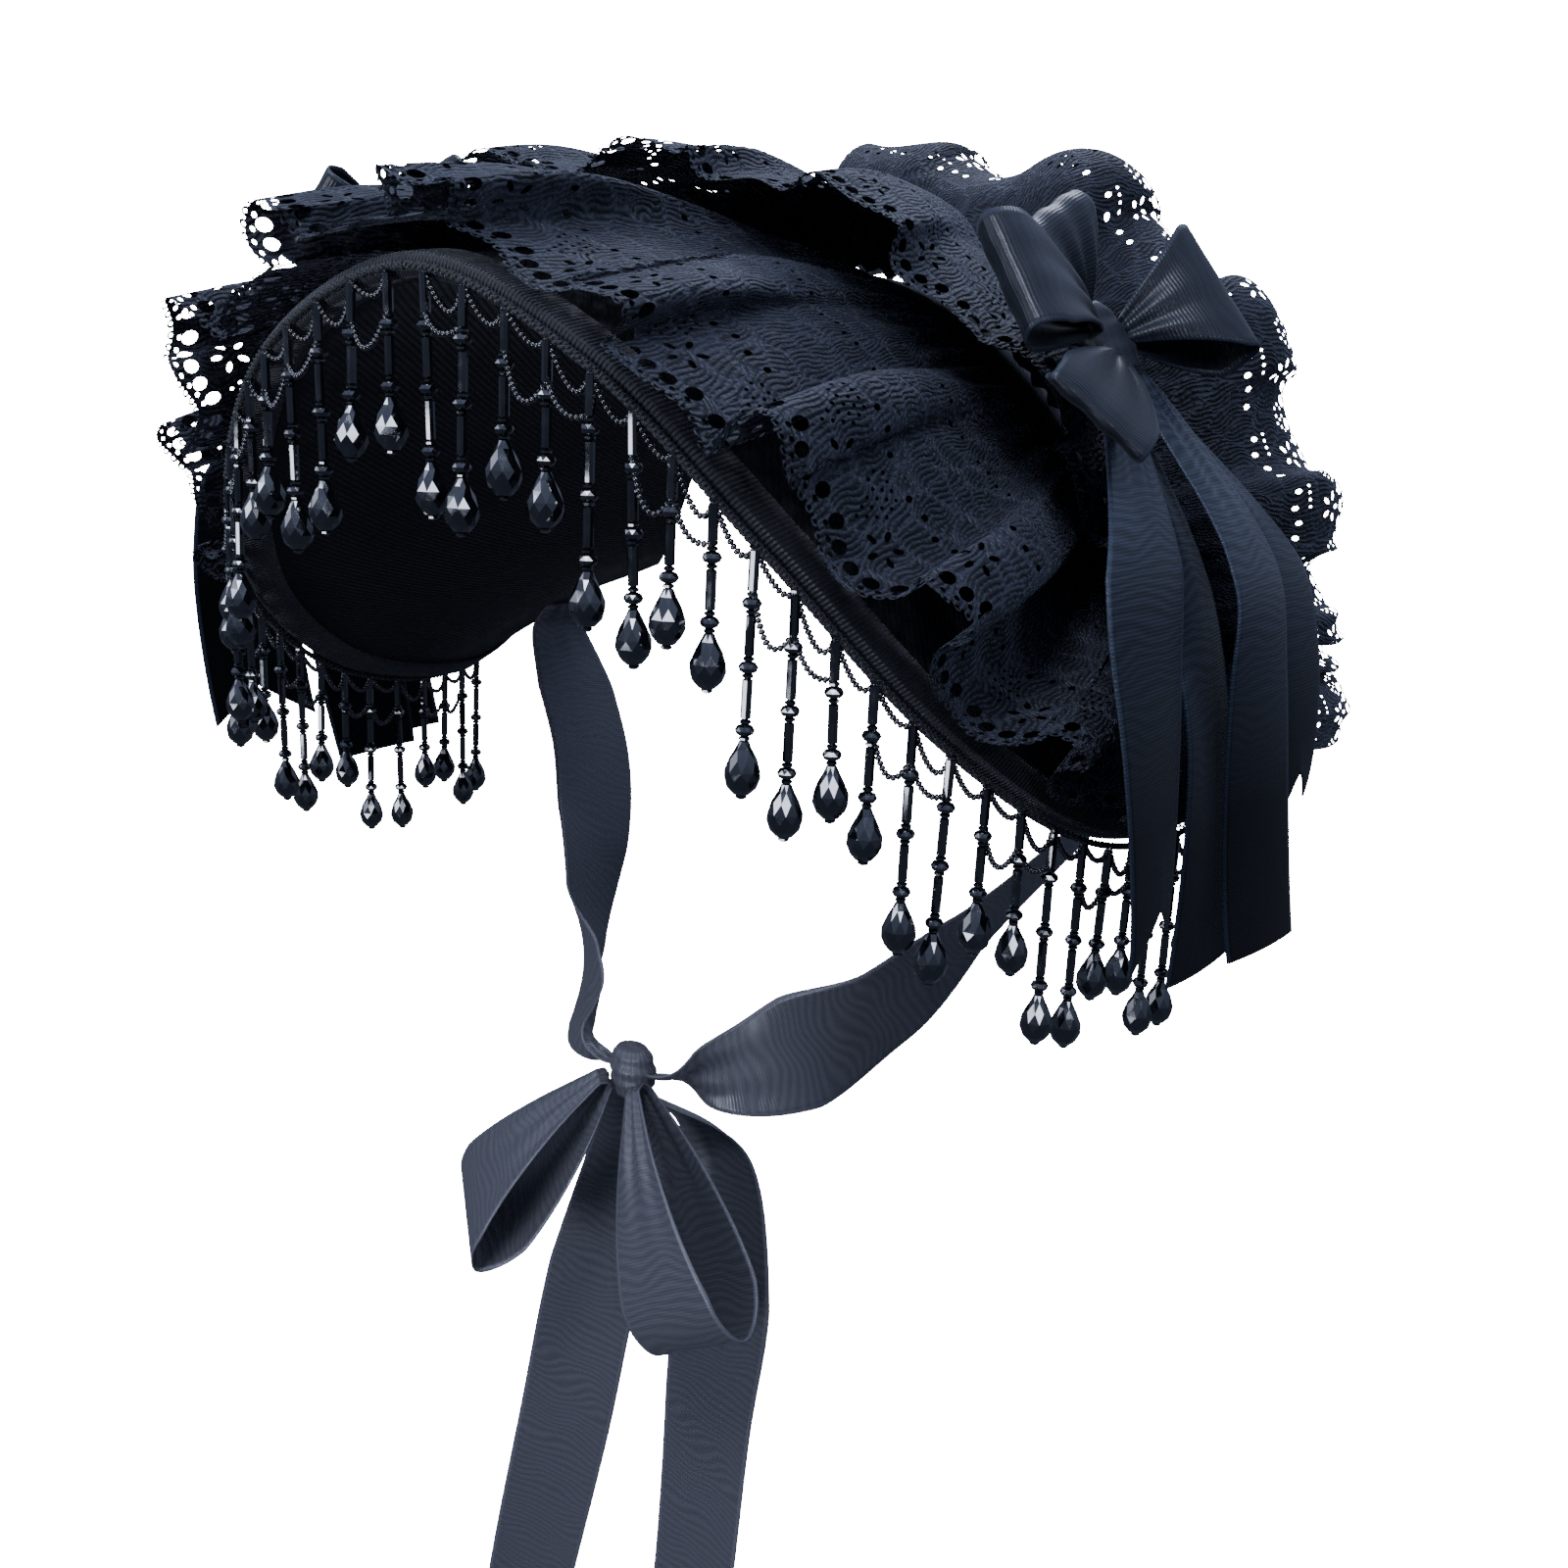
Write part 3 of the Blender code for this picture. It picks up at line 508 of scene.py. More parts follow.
@dataclass
class BrimBoard:
    """The stiff board of the brim, whose surface carries all the rest."""

    half_width: float = 150.0
    forward: float = 175.0
    backward: float = 42.0
    drop: float = 141.0
    board: float = 3.0
    bulge: float = 6.0
    head_level: float = 0.64
    binding: float = 1.0
    binding_leg: float = 9.0
    binding_gap: float = 0.4
    arch_table: tuple = (
        (0.000, -1.000, -0.045, 0.000, 1.00, 0.002),
        (0.353, -0.990, -0.180, 0.233, 1.00, -0.055),
        (0.610, -0.911, -0.439, 0.440, 1.00, -0.211),
        (0.800, -0.753, -0.720, 0.560, 0.95, -0.409),
        (0.913, -0.494, -0.930, 0.613, 0.90, -0.570),
        (0.947, -0.186, -0.996, 0.640, 0.86, -0.665),
        (1.000, 0.114, -0.906, 0.667, 0.86, -0.725),
    )
    keys: np.ndarray = field(init=False)
    rows: np.ndarray = field(init=False)

    def __post_init__(self) -> None:
        """Mirror the half arch into one table, end to end."""
        half = []
        for fx, fy, fz, bx, by, bz in self.arch_table:
            ahead = fy * (self.forward if fy < 0 else self.backward)
            half.append((fx * self.half_width, ahead, fz * self.drop,
                         bx * self.half_width, by * self.backward, bz * self.drop))
        half = np.array(half)
        self.rows = np.vstack((half[:0:-1] * (-1, 1, 1, -1, 1, 1), half))
        self.rows[:, (2, 5)] += self.board / 2
        self.keys = np.linspace(-1.0, 1.0, len(self.rows))

    def radial(self, points: np.ndarray) -> np.ndarray:
        """Point away from the middle of the head, seen from the front."""
        out = np.zeros_like(points)
        out[:, 0] = points[:, 0]
        out[:, 2] = points[:, 2] + self.head_level * self.drop
        return unit(out)

    def surface(self, arch: np.ndarray, rib: np.ndarray) -> np.ndarray:
        """Return points of the board's middle.

        Args:
            arch: Place along the arch, -1 at the wearer's right end to 1 at the left end.
            rib: Place across it, 0 at the fringed edge to 1 at the back edge.

        Returns:
            One point for each pair.
        """
        arch, rib = np.broadcast_arrays(np.asarray(arch, float), np.asarray(rib, float))
        row = smooth_table(self.keys, self.rows, arch)
        point = row[:, :3] + (row[:, 3:] - row[:, :3]) * rib[:, None]
        return point + self.radial(point) * (self.bulge * 4.0 * rib * (1.0 - rib))[:, None]

    def normal(self, arch: np.ndarray, rib: np.ndarray) -> np.ndarray:
        """Return the board's outward direction at many places."""
        step = 0.01
        along = self.surface(np.minimum(arch + step, 1.0), rib) - self.surface(np.maximum(arch - step, -1.0), rib)
        across = self.surface(arch, rib + step) - self.surface(arch, rib - step)
        return unit(np.cross(along, across))

    def inward(self, arch: np.ndarray) -> np.ndarray:
        """Return the direction of each rib from the edge towards the back."""
        zero = np.zeros_like(arch)
        return unit(self.surface(arch, zero + 0.02) - self.surface(arch, zero))

    def off_edge(self, arch: np.ndarray) -> np.ndarray:
        """Return the direction off the board, square to its edge."""
        zero = np.zeros_like(arch)
        ahead = self.surface(np.minimum(arch + 0.01, 1.0), zero) - self.surface(np.maximum(arch - 0.01, -1.0), zero)
        side = unit(np.cross(ahead, self.normal(arch, zero)))
        wrong = np.sum(side * self.inward(arch), axis=1) > 0
        side[wrong] *= -1.0
        return side

    def build(self, wardrobe: Wardrobe) -> None:
        """Build the twill-covered board and its ribbed binding.

        Args:
            wardrobe: The finishes.
        """
        arches = np.linspace(-1.0, 1.0, 241)
        ribs = np.linspace(0.0, 1.0, 49)
        a, r = np.meshgrid(arches, ribs, indexing="ij")
        grid = self.surface(a.ravel(), r.ravel()).reshape(len(arches), len(ribs), 3)
        points, faces = thin_wall(grid, self.board)
        flat = np.stack((a.ravel() * 340.0, r.ravel() * 200.0), axis=1)
        piece = add_piece("brim_twill", points, faces, wardrobe.twill, np.vstack((flat, flat)))
        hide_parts("brim")
        self.build_binding(wardrobe)

    def build_binding(self, wardrobe: Wardrobe) -> None:
        """Build the folded strip over the fringed edge, with a soft round fold."""
        arches = np.linspace(-1.0, 1.0, 361)
        zero = np.zeros_like(arches)
        edge = self.surface(arches, zero)
        inward = self.inward(arches)
        out = self.normal(arches, zero)
        inner = self.board / 2 + self.binding_gap
        outer = inner + self.binding
        turns = np.linspace(math.pi / 2, 3 * math.pi / 2, 9)
        skin = [(self.binding_leg, outer), (self.binding_leg * 0.5, outer + 0.12)]
        skin += [(outer * math.cos(t) * 0.55, outer * math.sin(t)) for t in turns]
        skin += [(self.binding_leg * 0.5, -outer - 0.12), (self.binding_leg, -outer)]
        skin += [(self.binding_leg, -inner), (0.2, -inner), (0.2, inner), (self.binding_leg, inner)]
        rings = np.array([edge + inward * d + out * h for d, h in skin]).transpose(1, 0, 2)
        count, sides = rings.shape[:2]
        points = np.concatenate((rings, rings[:, :1]), axis=1).reshape(-1, 3)
        faces = grid_faces(count, sides + 1)
        around = np.cumsum([0.0] + [math.dist(skin[i], skin[(i + 1) % sides]) for i in range(sides)])
        along = np.concatenate(([0.0], np.cumsum(np.linalg.norm(np.diff(edge, axis=0), axis=1))))
        flat = np.stack([g.ravel() for g in np.meshgrid(along, around, indexing="ij")], axis=1)
        piece = add_piece("brim_binding_grosgrain", points, faces, wardrobe.grosgrain, flat)
        weld(piece)
        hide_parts("brim_binding")


def weld(piece: bpy.types.Object, distance_mm: float = 0.001) -> None:
    """Join vertices that lie on each other and cap open ends.

    Args:
        piece: The object to mend.
        distance_mm: Distance under which vertices join.
    """
    import bmesh
    work = bmesh.new()
    work.from_mesh(piece.data)
    bmesh.ops.remove_doubles(work, verts=work.verts[:], dist=distance_mm * MM)
    rim = [e for e in work.edges if e.is_boundary]
    bmesh.ops.holes_fill(work, edges=rim, sides=0)
    bmesh.ops.recalc_face_normals(work, faces=work.faces[:])
    work.to_mesh(piece.data)
    work.free()


# ---------------------------------------------------------------- lace


@dataclass
class LaceRepeat:
    """One repeat of the flat lace, cut like the real one: scallop, loops, eyelets and net."""

    pitch: float = 26.0
    depth: float = 100.0
    scallop: float = 6.0
    picots: int = 9
    ground_step: float = 2.1

    def edge_height(self, x: np.ndarray) -> np.ndarray:
        """Return the scalloped edge's height above the seam."""
        return self.depth - self.scallop * np.abs(np.cos(math.pi * x / self.pitch)) ** 1.5

    def holes(self) -> list[tuple[float, float, float, float, float, int]]:
        """List the holes of one repeat.

        Returns:
            Middle x and y, half width, half height, turn, and number of corners of each.
        """
        p, d = self.pitch, self.depth
        found = []
        for k in range(5):
            share = (k - 2) / 2
            found.append((p / 2 + share * 9.6, d - 7.0 - 3.6 * share ** 2, 1.75, 2.1, 0.0, 12))
        for k in range(8):
            x = p / 2 + (k - 3.5) * 2.95
            found.append((x, float(self.edge_height(np.array(x))) - 2.4, 0.75, 0.75, 0.0, 7))
        for k in range(5):
            turn = 2 * math.pi * k / 5
            found.append((p / 2 + 3.2 * math.sin(turn), d - 17.0 + 3.2 * math.cos(turn), 0.7, 1.35, -turn, 9))
        for k in range(5):
            for row, size in ((30.0, 0.85), (62.0, 0.75)):
                x = (k + 0.25) * p / 5
                if 1.5 < x < p - 1.5:
                    found.append((x, d - row + 0.8 * math.sin(2.4 * k), size, size * 1.25, 0.0, 8))
        net = []
        step = 2.25
        for i in range(13):
            for j in range(20):
                x = (i + (0.5 if j % 2 else 0.0)) * p / 12 + p / 24
                y = d - 26.0 + j * step * 0.92
                patch = math.sin(2 * math.pi * x / p + 0.5) + math.sin(y * 0.31 + 1.4 * math.cos(2 * math.pi * x / p))
                if 1.0 < x < p - 1.0 and y < self.edge_height(np.array(x)) - 4.0 and patch > 0.75:
                    net.append((x, y, 0.5, 0.5, 0.0, 6))
        for x, y, w, h, turn, sides in net:
            if all(math.hypot(x - f[0], y - f[1]) > max(f[2], f[3]) + 1.35 for f in found if f[5] > 6):
                if math.hypot(x - p / 2, y - (d - 17.0)) > 6.8:
                    found.append((x, y, w, h, turn, sides))
        return found

    def outline(self) -> list[tuple[float, float]]:
        """Trace the free edge with its picot loops, from x = 0 to the pitch."""
        x = np.linspace(0.0, self.pitch, 400)
        y = self.edge_height(x)
        run = np.concatenate(([0.0], np.cumsum(np.hypot(np.diff(x), np.diff(y)))))
        path = []
        gap = run[-1] / self.picots
        for k in range(self.picots):
            middle = (k + 0.5) * gap
            cx, cy = np.interp(middle, run, x), np.interp(middle, run, y)
            ex, ey = np.interp(middle + 0.3, run, x) - cx, np.interp(middle + 0.3, run, y) - cy
            size = math.hypot(ex, ey)
            ex, ey = ex / size, ey / size
            for turn in np.linspace(math.pi, 0.0, 7):
                away, up = math.cos(turn) * 1.25, math.sin(turn) * 1.75
                path.append((cx + ex * away - ey * up, cy + ey * away + ex * up))
        return [(0.0, float(y[0]))] + path + [(self.pitch, float(y[-1]))]

    def picot_holes(self) -> list[tuple[float, float, float, float, float, int]]:
        """List the small hole inside each picot loop."""
        x = np.linspace(0.0, self.pitch, 400)
        y = self.edge_height(x)
        run = np.concatenate(([0.0], np.cumsum(np.hypot(np.diff(x), np.diff(y)))))
        found = []
        for k in range(self.picots):
            middle = (k + 0.5) * run[-1] / self.picots
            cx, cy = np.interp(middle, run, x), np.interp(middle, run, y)
            ex, ey = np.interp(middle + 0.3, run, x) - cx, np.interp(middle + 0.3, run, y) - cy
            size = math.hypot(ex, ey)
            found.append((cx - ey / size * 0.45, cy + ex / size * 0.45, 0.62, 0.7, 0.0, 6))
        return found

    def cut(self) -> tuple[np.ndarray, np.ndarray]:
        """Cut one repeat out of the cloth.

        Returns:
            Its flat points, and its triangles.
        """
        points: list[tuple[float, float]] = []
        edges: list[tuple[int, int]] = []
        rings: list[np.ndarray] = []
        left_y = np.linspace(0.0, float(self.edge_height(np.array(0.0))), int(self.depth / self.ground_step))
        bottom_x = np.linspace(0.0, self.pitch, int(self.pitch / self.ground_step))
        border = [(float(x), 0.0) for x in bottom_x]
        border += [(self.pitch, float(y)) for y in left_y[1:]]
        border += list(reversed(self.outline()))[1:-1]
        border += [(0.0, float(y)) for y in left_y[:0:-1]]
        points += border
        edges += [(i, (i + 1) % len(border)) for i in range(len(border))]
        for cx, cy, w, h, turn, sides in self.holes() + self.picot_holes():
            angles = 2 * math.pi * (np.arange(sides) + 0.5) / sides
            x, y = np.cos(angles) * w, np.sin(angles) * h
            ring = np.stack((cx + x * math.cos(turn) - y * math.sin(turn),
                             cy + x * math.sin(turn) + y * math.cos(turn)), axis=1)
            rings.append(ring)
            first = len(points)
            points += [tuple(q) for q in ring.tolist()]
            edges += [(first + i, first + (i + 1) % sides) for i in range(sides)]
        taken = np.array(points)
        step = self.ground_step
        inside = []
        for j in range(1, int(self.depth / (step * 0.87)) + 1):
            for i in range(int(self.pitch / step) + 1):
                x = (i + (0.5 if j % 2 else 0.0)) * step
                y = j * step * 0.87
                if step * 0.45 < x < self.pitch - step * 0.45 and y < self.edge_height(np.array(x)) - 0.7:
                    if np.min(np.hypot(taken[:, 0] - x, taken[:, 1] - y)) > 0.8:
                        if not any(self.within(ring, x, y) for ring in rings):
                            inside.append((x, y))
        points += inside
        found = delaunay_2d_cdt([Vector(q) for q in points], edges, [], 0, 1e-5)
        flat = np.array([tuple(v) for v in found[0]])
        triangles = np.array(found[2])
        middles = flat[triangles].mean(axis=1)
        keep = self.inside_all(np.array(border), middles)
        for ring in rings:
            near = np.hypot(middles[:, 0] - ring[:, 0].mean(), middles[:, 1] - ring[:, 1].mean()) < 2.6
            keep[near] &= ~self.inside_all(ring, middles[near])
        return flat, triangles[keep]

    @staticmethod
    def within(ring: np.ndarray, x: float, y: float) -> bool:
        """Say whether a point lies in a hole."""
        return bool(LaceRepeat.inside_all(ring, np.array([[x, y]]))[0])

    @staticmethod
    def inside_all(ring: np.ndarray, spots: np.ndarray) -> np.ndarray:
        """Say which spots lie inside a closed line.

        Args:
            ring: The line's corners.
            spots: Points to test.

        Returns:
            True for each spot inside.
        """
        inside = np.zeros(len(spots), bool)
        x, y = spots[:, 0], spots[:, 1]
        for (x0, y0), (x1, y1) in zip(ring, np.roll(ring, -1, axis=0)):
            if y0 != y1:
                cross = ((y0 > y) != (y1 > y)) & (x < (x1 - x0) * (y - y0) / (y1 - y0) + x0)
                inside ^= cross
        return inside


@dataclass
class LaceTier:
    """One gathered ruffle of lace: its seam, its reach, how it stands out and how it folds."""

    board: BrimBoard
    name: str
    node: str
    column: int
    span: float
    profile: tuple
    folds: float
    phase: float
    fold_depth: float
    sway: float
    depth: float = field(init=False)
    puff_table: tuple = (
        (-1.00, 7.0, 16.0, 20.0),
        (-0.83, 7.0, 18.0, 38.0),
        (-0.62, 14.0, 26.0, 47.0),
        (-0.42, 22.0, 40.0, 52.0),
        (-0.20, 20.0, 42.0, 50.0),
        (0.00, 14.0, 24.0, 40.0),
        (0.20, 10.0, 32.0, 50.0),
        (0.42, 21.0, 32.0, 50.0),
        (0.62, 14.0, 26.0, 45.0),
        (0.83, 7.0, 18.0, 38.0),
        (1.00, 7.0, 16.0, 20.0),
    )
    seat: float = 2.9       # board surface to lace, its half thickness and ease included

    def puff(self, run: np.ndarray) -> np.ndarray:
        """Return how far the tier stands out along its run."""
        table = np.array(self.puff_table)
        return smooth_table(table[:, 0], table[:, 1 + self.column:2 + self.column], run)[:, 0]

    def wave(self, run: np.ndarray) -> np.ndarray:
        """Return the height of the gathers, between about -1 and 1."""
        turn = math.pi * self.folds * run + self.phase
        return 0.78 * np.sin(turn) + 0.22 * np.sin(2.3 * turn + 1.0)

    def shares(self, t: np.ndarray) -> tuple[np.ndarray, np.ndarray, np.ndarray]:
        """Return the shares of the reach, the rise and the fold depth across the tier."""
        table = np.array(self.profile)
        row = smooth_table(table[:, 0], table[:, 1:], t)
        return row[:, 0], row[:, 1], row[:, 2]

    def place(self, run: np.ndarray, t: np.ndarray) -> np.ndarray:
        """Place points of the tier. Each tier has its own way.

        Args:
            run: Place along the tier, -1 to 1.
            t: Place across it, 0 at the seam to 1 at the free edge.

        Returns:
            One point for each pair.
        """
        raise NotImplementedError

    def ripples(self, run: np.ndarray, t: np.ndarray) -> np.ndarray:
        """Return the small height of crimps near the seam and the flutter near the free edge."""
        crimp = 1.5 * np.sin(math.pi * self.folds * 5.3 * run + 2.0 * np.sin(7.0 * run)) * np.exp(-((t - 0.1) / 0.22) ** 2)
        flutter = 1.9 * np.sin(math.pi * self.folds * 2.9 * run + 1.3 + 2.1 * np.sin(11.0 * run)) * t ** 3
        crease = 1.2 * np.sin(math.pi * self.folds * 1.7 * run + 5.0 * t + 0.7) * np.sin(math.pi * t)
        return crimp + flutter + crease

    def fold_sway(self, run: np.ndarray, depth: np.ndarray) -> np.ndarray:
        """Lean the folds over sideways, so that each one bellies past its own foot."""
        turn = math.pi * self.folds * run + self.phase
        return -self.sway * depth * np.sin(2.0 * turn) * (1.0 - np.abs(run) ** 6)

    def build(self, wardrobe: Wardrobe) -> None:
        """Cut the cloth to the free edge's own length and lay it in folds.

        Args:
            wardrobe: The finishes.
        """
        t = np.linspace(0.0, 1.0, 60)
        lengths = [np.linalg.norm(np.diff(self.place(np.full_like(t, r), t), axis=0), axis=1).sum()
                   for r in np.linspace(-0.95 * self.span, 0.95 * self.span, 61)]
        self.depth = float(np.mean(lengths))
        dense = np.linspace(-self.span, self.span, 6000)
        edge = self.place(dense, np.full_like(dense, 0.97))
        middle = self.place(dense, np.full_like(dense, 0.55))
        pace = 0.75 * np.linalg.norm(np.diff(edge, axis=0), axis=1) + 0.25 * np.linalg.norm(np.diff(middle, axis=0), axis=1)
        run_length = np.concatenate(([0.0], np.cumsum(pace)))
        repeat = LaceRepeat(depth=self.depth)
        count = max(int(round(run_length[-1] / repeat.pitch)), 1)
        stretch = run_length[-1] / (count * repeat.pitch)
        tile, triangles = repeat.cut()
        cloth = np.concatenate([tile + (k * repeat.pitch, 0.0) for k in range(count)])
        faces = np.concatenate([triangles + k * len(tile) for k in range(count)])
        keys = np.round(cloth * 2000.0).astype(np.int64)
        _, first, back = np.unique(keys, axis=0, return_index=True, return_inverse=True)
        cloth = cloth[first]
        faces = back.reshape(-1)[faces]
        run = np.interp(cloth[:, 0] * stretch, run_length, dense)
        points = self.place(run, np.clip(cloth[:, 1] / self.depth, 0.0, 1.02))
        cloth = cloth * (stretch, 1.0)
        piece = add_piece(self.name, points, faces.tolist(), wardrobe.lace, cloth)
        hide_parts(self.node)
        LOG.info("%s: %d repeats, cut %.0f by %.0f mm", self.name, count, run_length[-1], self.depth)


@dataclass
class FrontTier(LaceTier):
    """The ruffle that falls forward over the board, with deep irregular folds."""

    seam: float = 0.68
    reach: float = 0.71

    def place(self, run: np.ndarray, t: np.ndarray) -> np.ndarray:
        """Place points of the front ruffle."""
        across, rise, depth = self.shares(t)
        height = self.puff(run)
        lift = self.seat + height * (rise + self.fold_depth * depth * self.wave(run)) + self.ripples(run, t) * np.minimum(height / 12.0, 1.0)
        turn = math.pi * self.folds * run + self.phase
        lean = 0.014 * depth * (1.0 - run ** 4) * np.cos(turn)
        where = np.clip(run + lean + self.fold_sway(run, depth), -1.0, 1.0)
        rib = self.seam - across * self.reach - 0.012 * depth * np.sin(turn * 0.53 + 2.0)
        normal = self.board.normal(run, np.maximum(rib, 0.0))
        return self.board.surface(where, rib) + normal * np.maximum(lift, self.seat - 0.6)[:, None]


@dataclass
class FlapTier(LaceTier):
    """The ruffle that falls forward from the crown seam over the front one."""

    seam: float = 0.80
    reach: float = 0.46

    def place(self, run: np.ndarray, t: np.ndarray) -> np.ndarray:
        """Place points of the upper ruffle."""
        across, rise, depth = self.shares(t)
        where = np.clip(run + self.fold_sway(run, depth), -1.0, 1.0)
        base = self.board.surface(where, self.seam - across * self.reach)
        seat = self.board.normal(run, np.full_like(run, self.seam)) * self.seat
        height = self.puff(run)
        fold = self.fold_depth * height * depth * self.wave(run) + self.ripples(run, t)
        return base + seat + self.board.radial(base) * (rise * height + fold)[:, None]


@dataclass
class BackTier(LaceTier):
    """The ruffle that stands up behind the crown and falls to the back and the sides."""

    seam: float = 0.84
    seam_fall: float = 0.62
    turn: float = 0.8
    arch_end: float = 0.97
    reach: float = 68.0
    reach_side: float = 40.0
    side: float = 0.55
    seam_lift: float = 3.0

    def seam_points(self, run: np.ndarray) -> np.ndarray:
        """Return the seam: over the crown, then along the board's lower ends."""
        over = np.minimum(np.abs(run) / self.turn, 1.0)
        past = np.maximum((np.abs(run) - self.turn) / (1.0 - self.turn), 0.0)
        arch = np.copysign(self.arch_end * over, run)
        point = self.board.surface(arch, self.seam - self.seam_fall * past)
        lift = self.board.normal(arch, np.full_like(arch, self.seam)) * (1.0 - past)[:, None]
        lift = unit(lift + BACKWARD_AXIS * past[:, None])
        return point + lift * (self.board.board / 2 + 0.8) + BACKWARD_AXIS * (self.seam_lift * past)[:, None]

    def place(self, run: np.ndarray, t: np.ndarray) -> np.ndarray:
        """Place points of the back ruffle."""
        across, rise, depth = self.shares(t)
        base = self.seam_points(np.clip(run + self.fold_sway(run, depth) * (1.0 - np.abs(run) ** 3), -1.0, 1.0))
        height = self.puff(run)
        ends = 1.0 - 0.85 * np.abs(run) ** 3
        fold = self.fold_depth * height * depth * self.wave(run) * ends + self.ripples(run, t) * ends
        length = self.reach + (self.reach_side - self.reach) * np.minimum(np.abs(run) / self.side, 1.0)
        back = across * length - fold * 0.6
        return base + self.board.radial(base) * (rise * height + fold)[:, None] + BACKWARD_AXIS * back[:, None]


FRONT_PROFILE = ((0.0, 0.0, 0.0, 0.0), (0.25, 0.23, 0.4, 0.15), (0.5, 0.48, 0.78, 0.55),
                 (0.75, 0.74, 1.0, 1.0), (1.0, 1.0, 0.9, 1.0))
FLAP_PROFILE = ((0.0, 0.0, 0.0, 0.0), (0.33, 0.24, 0.72, 0.35), (0.72, 0.66, 1.0, 0.8),
                (1.0, 1.0, 0.94, 1.0))
BACK_PROFILE = ((0.0, 0.0, 0.0, 0.0), (0.25, 0.12, 0.42, 0.3), (0.5, 0.26, 0.78, 0.6),
                (0.75, 0.6, 1.0, 1.0), (1.0, 1.0, 0.96, 1.0))


# ---------------------------------------------------------------- beads


class Bead(Enum):
    """The kinds of glass in a strand, each with its height in millimetres."""

    SEED = 1.25
    PEARL = 1.2
    TUBE = 9.0
    RONDELLE = 2.5
    DROP = 12.0


@dataclass
class BeadShop:
    """Ready-made beads as small meshes round the strand's line."""

    tube_radius: float = 1.2
    seed_radius: float = 1.3
    pearl_radius: float = 0.82
    rondelle_radius: float = 2.3
    drop_radius: float = 4.15

    def profile(self, kind: Bead) -> tuple[int, list[tuple[float, float]]]:
        """Return how many sides a bead has, and its rings.

        Args:
            kind: Which bead.

        Returns:
            Number of sides, and pairs of radius and height under the bead's top.
        """
        tall = kind.value
        if kind is Bead.SEED:
            r = self.seed_radius
            return 7, [(r * 0.45, 0.0), (r, tall * 0.3), (r, tall * 0.7), (r * 0.45, tall)]
        if kind is Bead.PEARL:
            r = self.pearl_radius
            return 6, [(r * 0.5, 0.0), (r, tall * 0.3), (r, tall * 0.7), (r * 0.5, tall)]
        if kind is Bead.TUBE:
            r = self.tube_radius
            return 8, [(r * 0.6, 0.0), (r, 0.25), (r, tall - 0.25), (r * 0.6, tall)]
        if kind is Bead.RONDELLE:
            r = self.rondelle_radius
            return 9, [(r * 0.45, 0.0), (r * 0.8, tall * 0.14), (r, tall * 0.5), (r * 0.8, tall * 0.86), (r * 0.45, tall)]
        r = self.drop_radius
        return 9, [(r * 0.28, 0.0), (r * 0.46, tall * 0.14), (r * 0.76, tall * 0.33), (r * 0.98, tall * 0.54),
                   (r, tall * 0.7), (r * 0.82, tall * 0.87), (r * 0.46, tall)]

    def mesh(self, kind: Bead, top: np.ndarray, along: np.ndarray, spin: float) -> tuple[np.ndarray, list]:
        """Make one bead.

        Args:
            kind: Which bead.
            top: Where its top is.
            along: Unit vector down the strand.
            spin: Turn about the strand, in radians.

        Returns:
            Points and faces, facets twisted half a side from ring to ring on the cut beads.
        """
        sides, rings = self.profile(kind)
        first = np.cross(along, [0.0, 1.0, 0.0] if abs(along[1]) < 0.9 else [1.0, 0.0, 0.0])
        first /= np.linalg.norm(first)
        second = np.cross(along, first)
        cut = kind in (Bead.DROP, Bead.RONDELLE)
        points = []
        for number, (radius, low) in enumerate(rings):
            shift = (number % 2) * 0.5 if cut else 0.0
            angles = 2 * math.pi * (np.arange(sides) + shift) / sides + spin
            ring = top + along * low + np.outer(np.cos(angles) * radius, first) + np.outer(np.sin(angles) * radius, second)
            points.append(ring)
        faces: list = []
        for n in range(len(rings) - 1):
            for k in range(sides):
                a, b = n * sides + k, n * sides + (k + 1) % sides
                c, d = (n + 1) * sides + (k + 1) % sides, (n + 1) * sides + k
                if not cut:
                    faces.append([a, b, c, d])
                elif n % 2 == 0:
                    faces += [[a, b, d], [b, c, d]]
                else:
                    faces += [[a, b, c], [a, c, d]]
        faces.append(list(range(sides - 1, -1, -1)))
        faces.append([(len(rings) - 1) * sides + k for k in range(sides)])
        return np.concatenate(points), faces


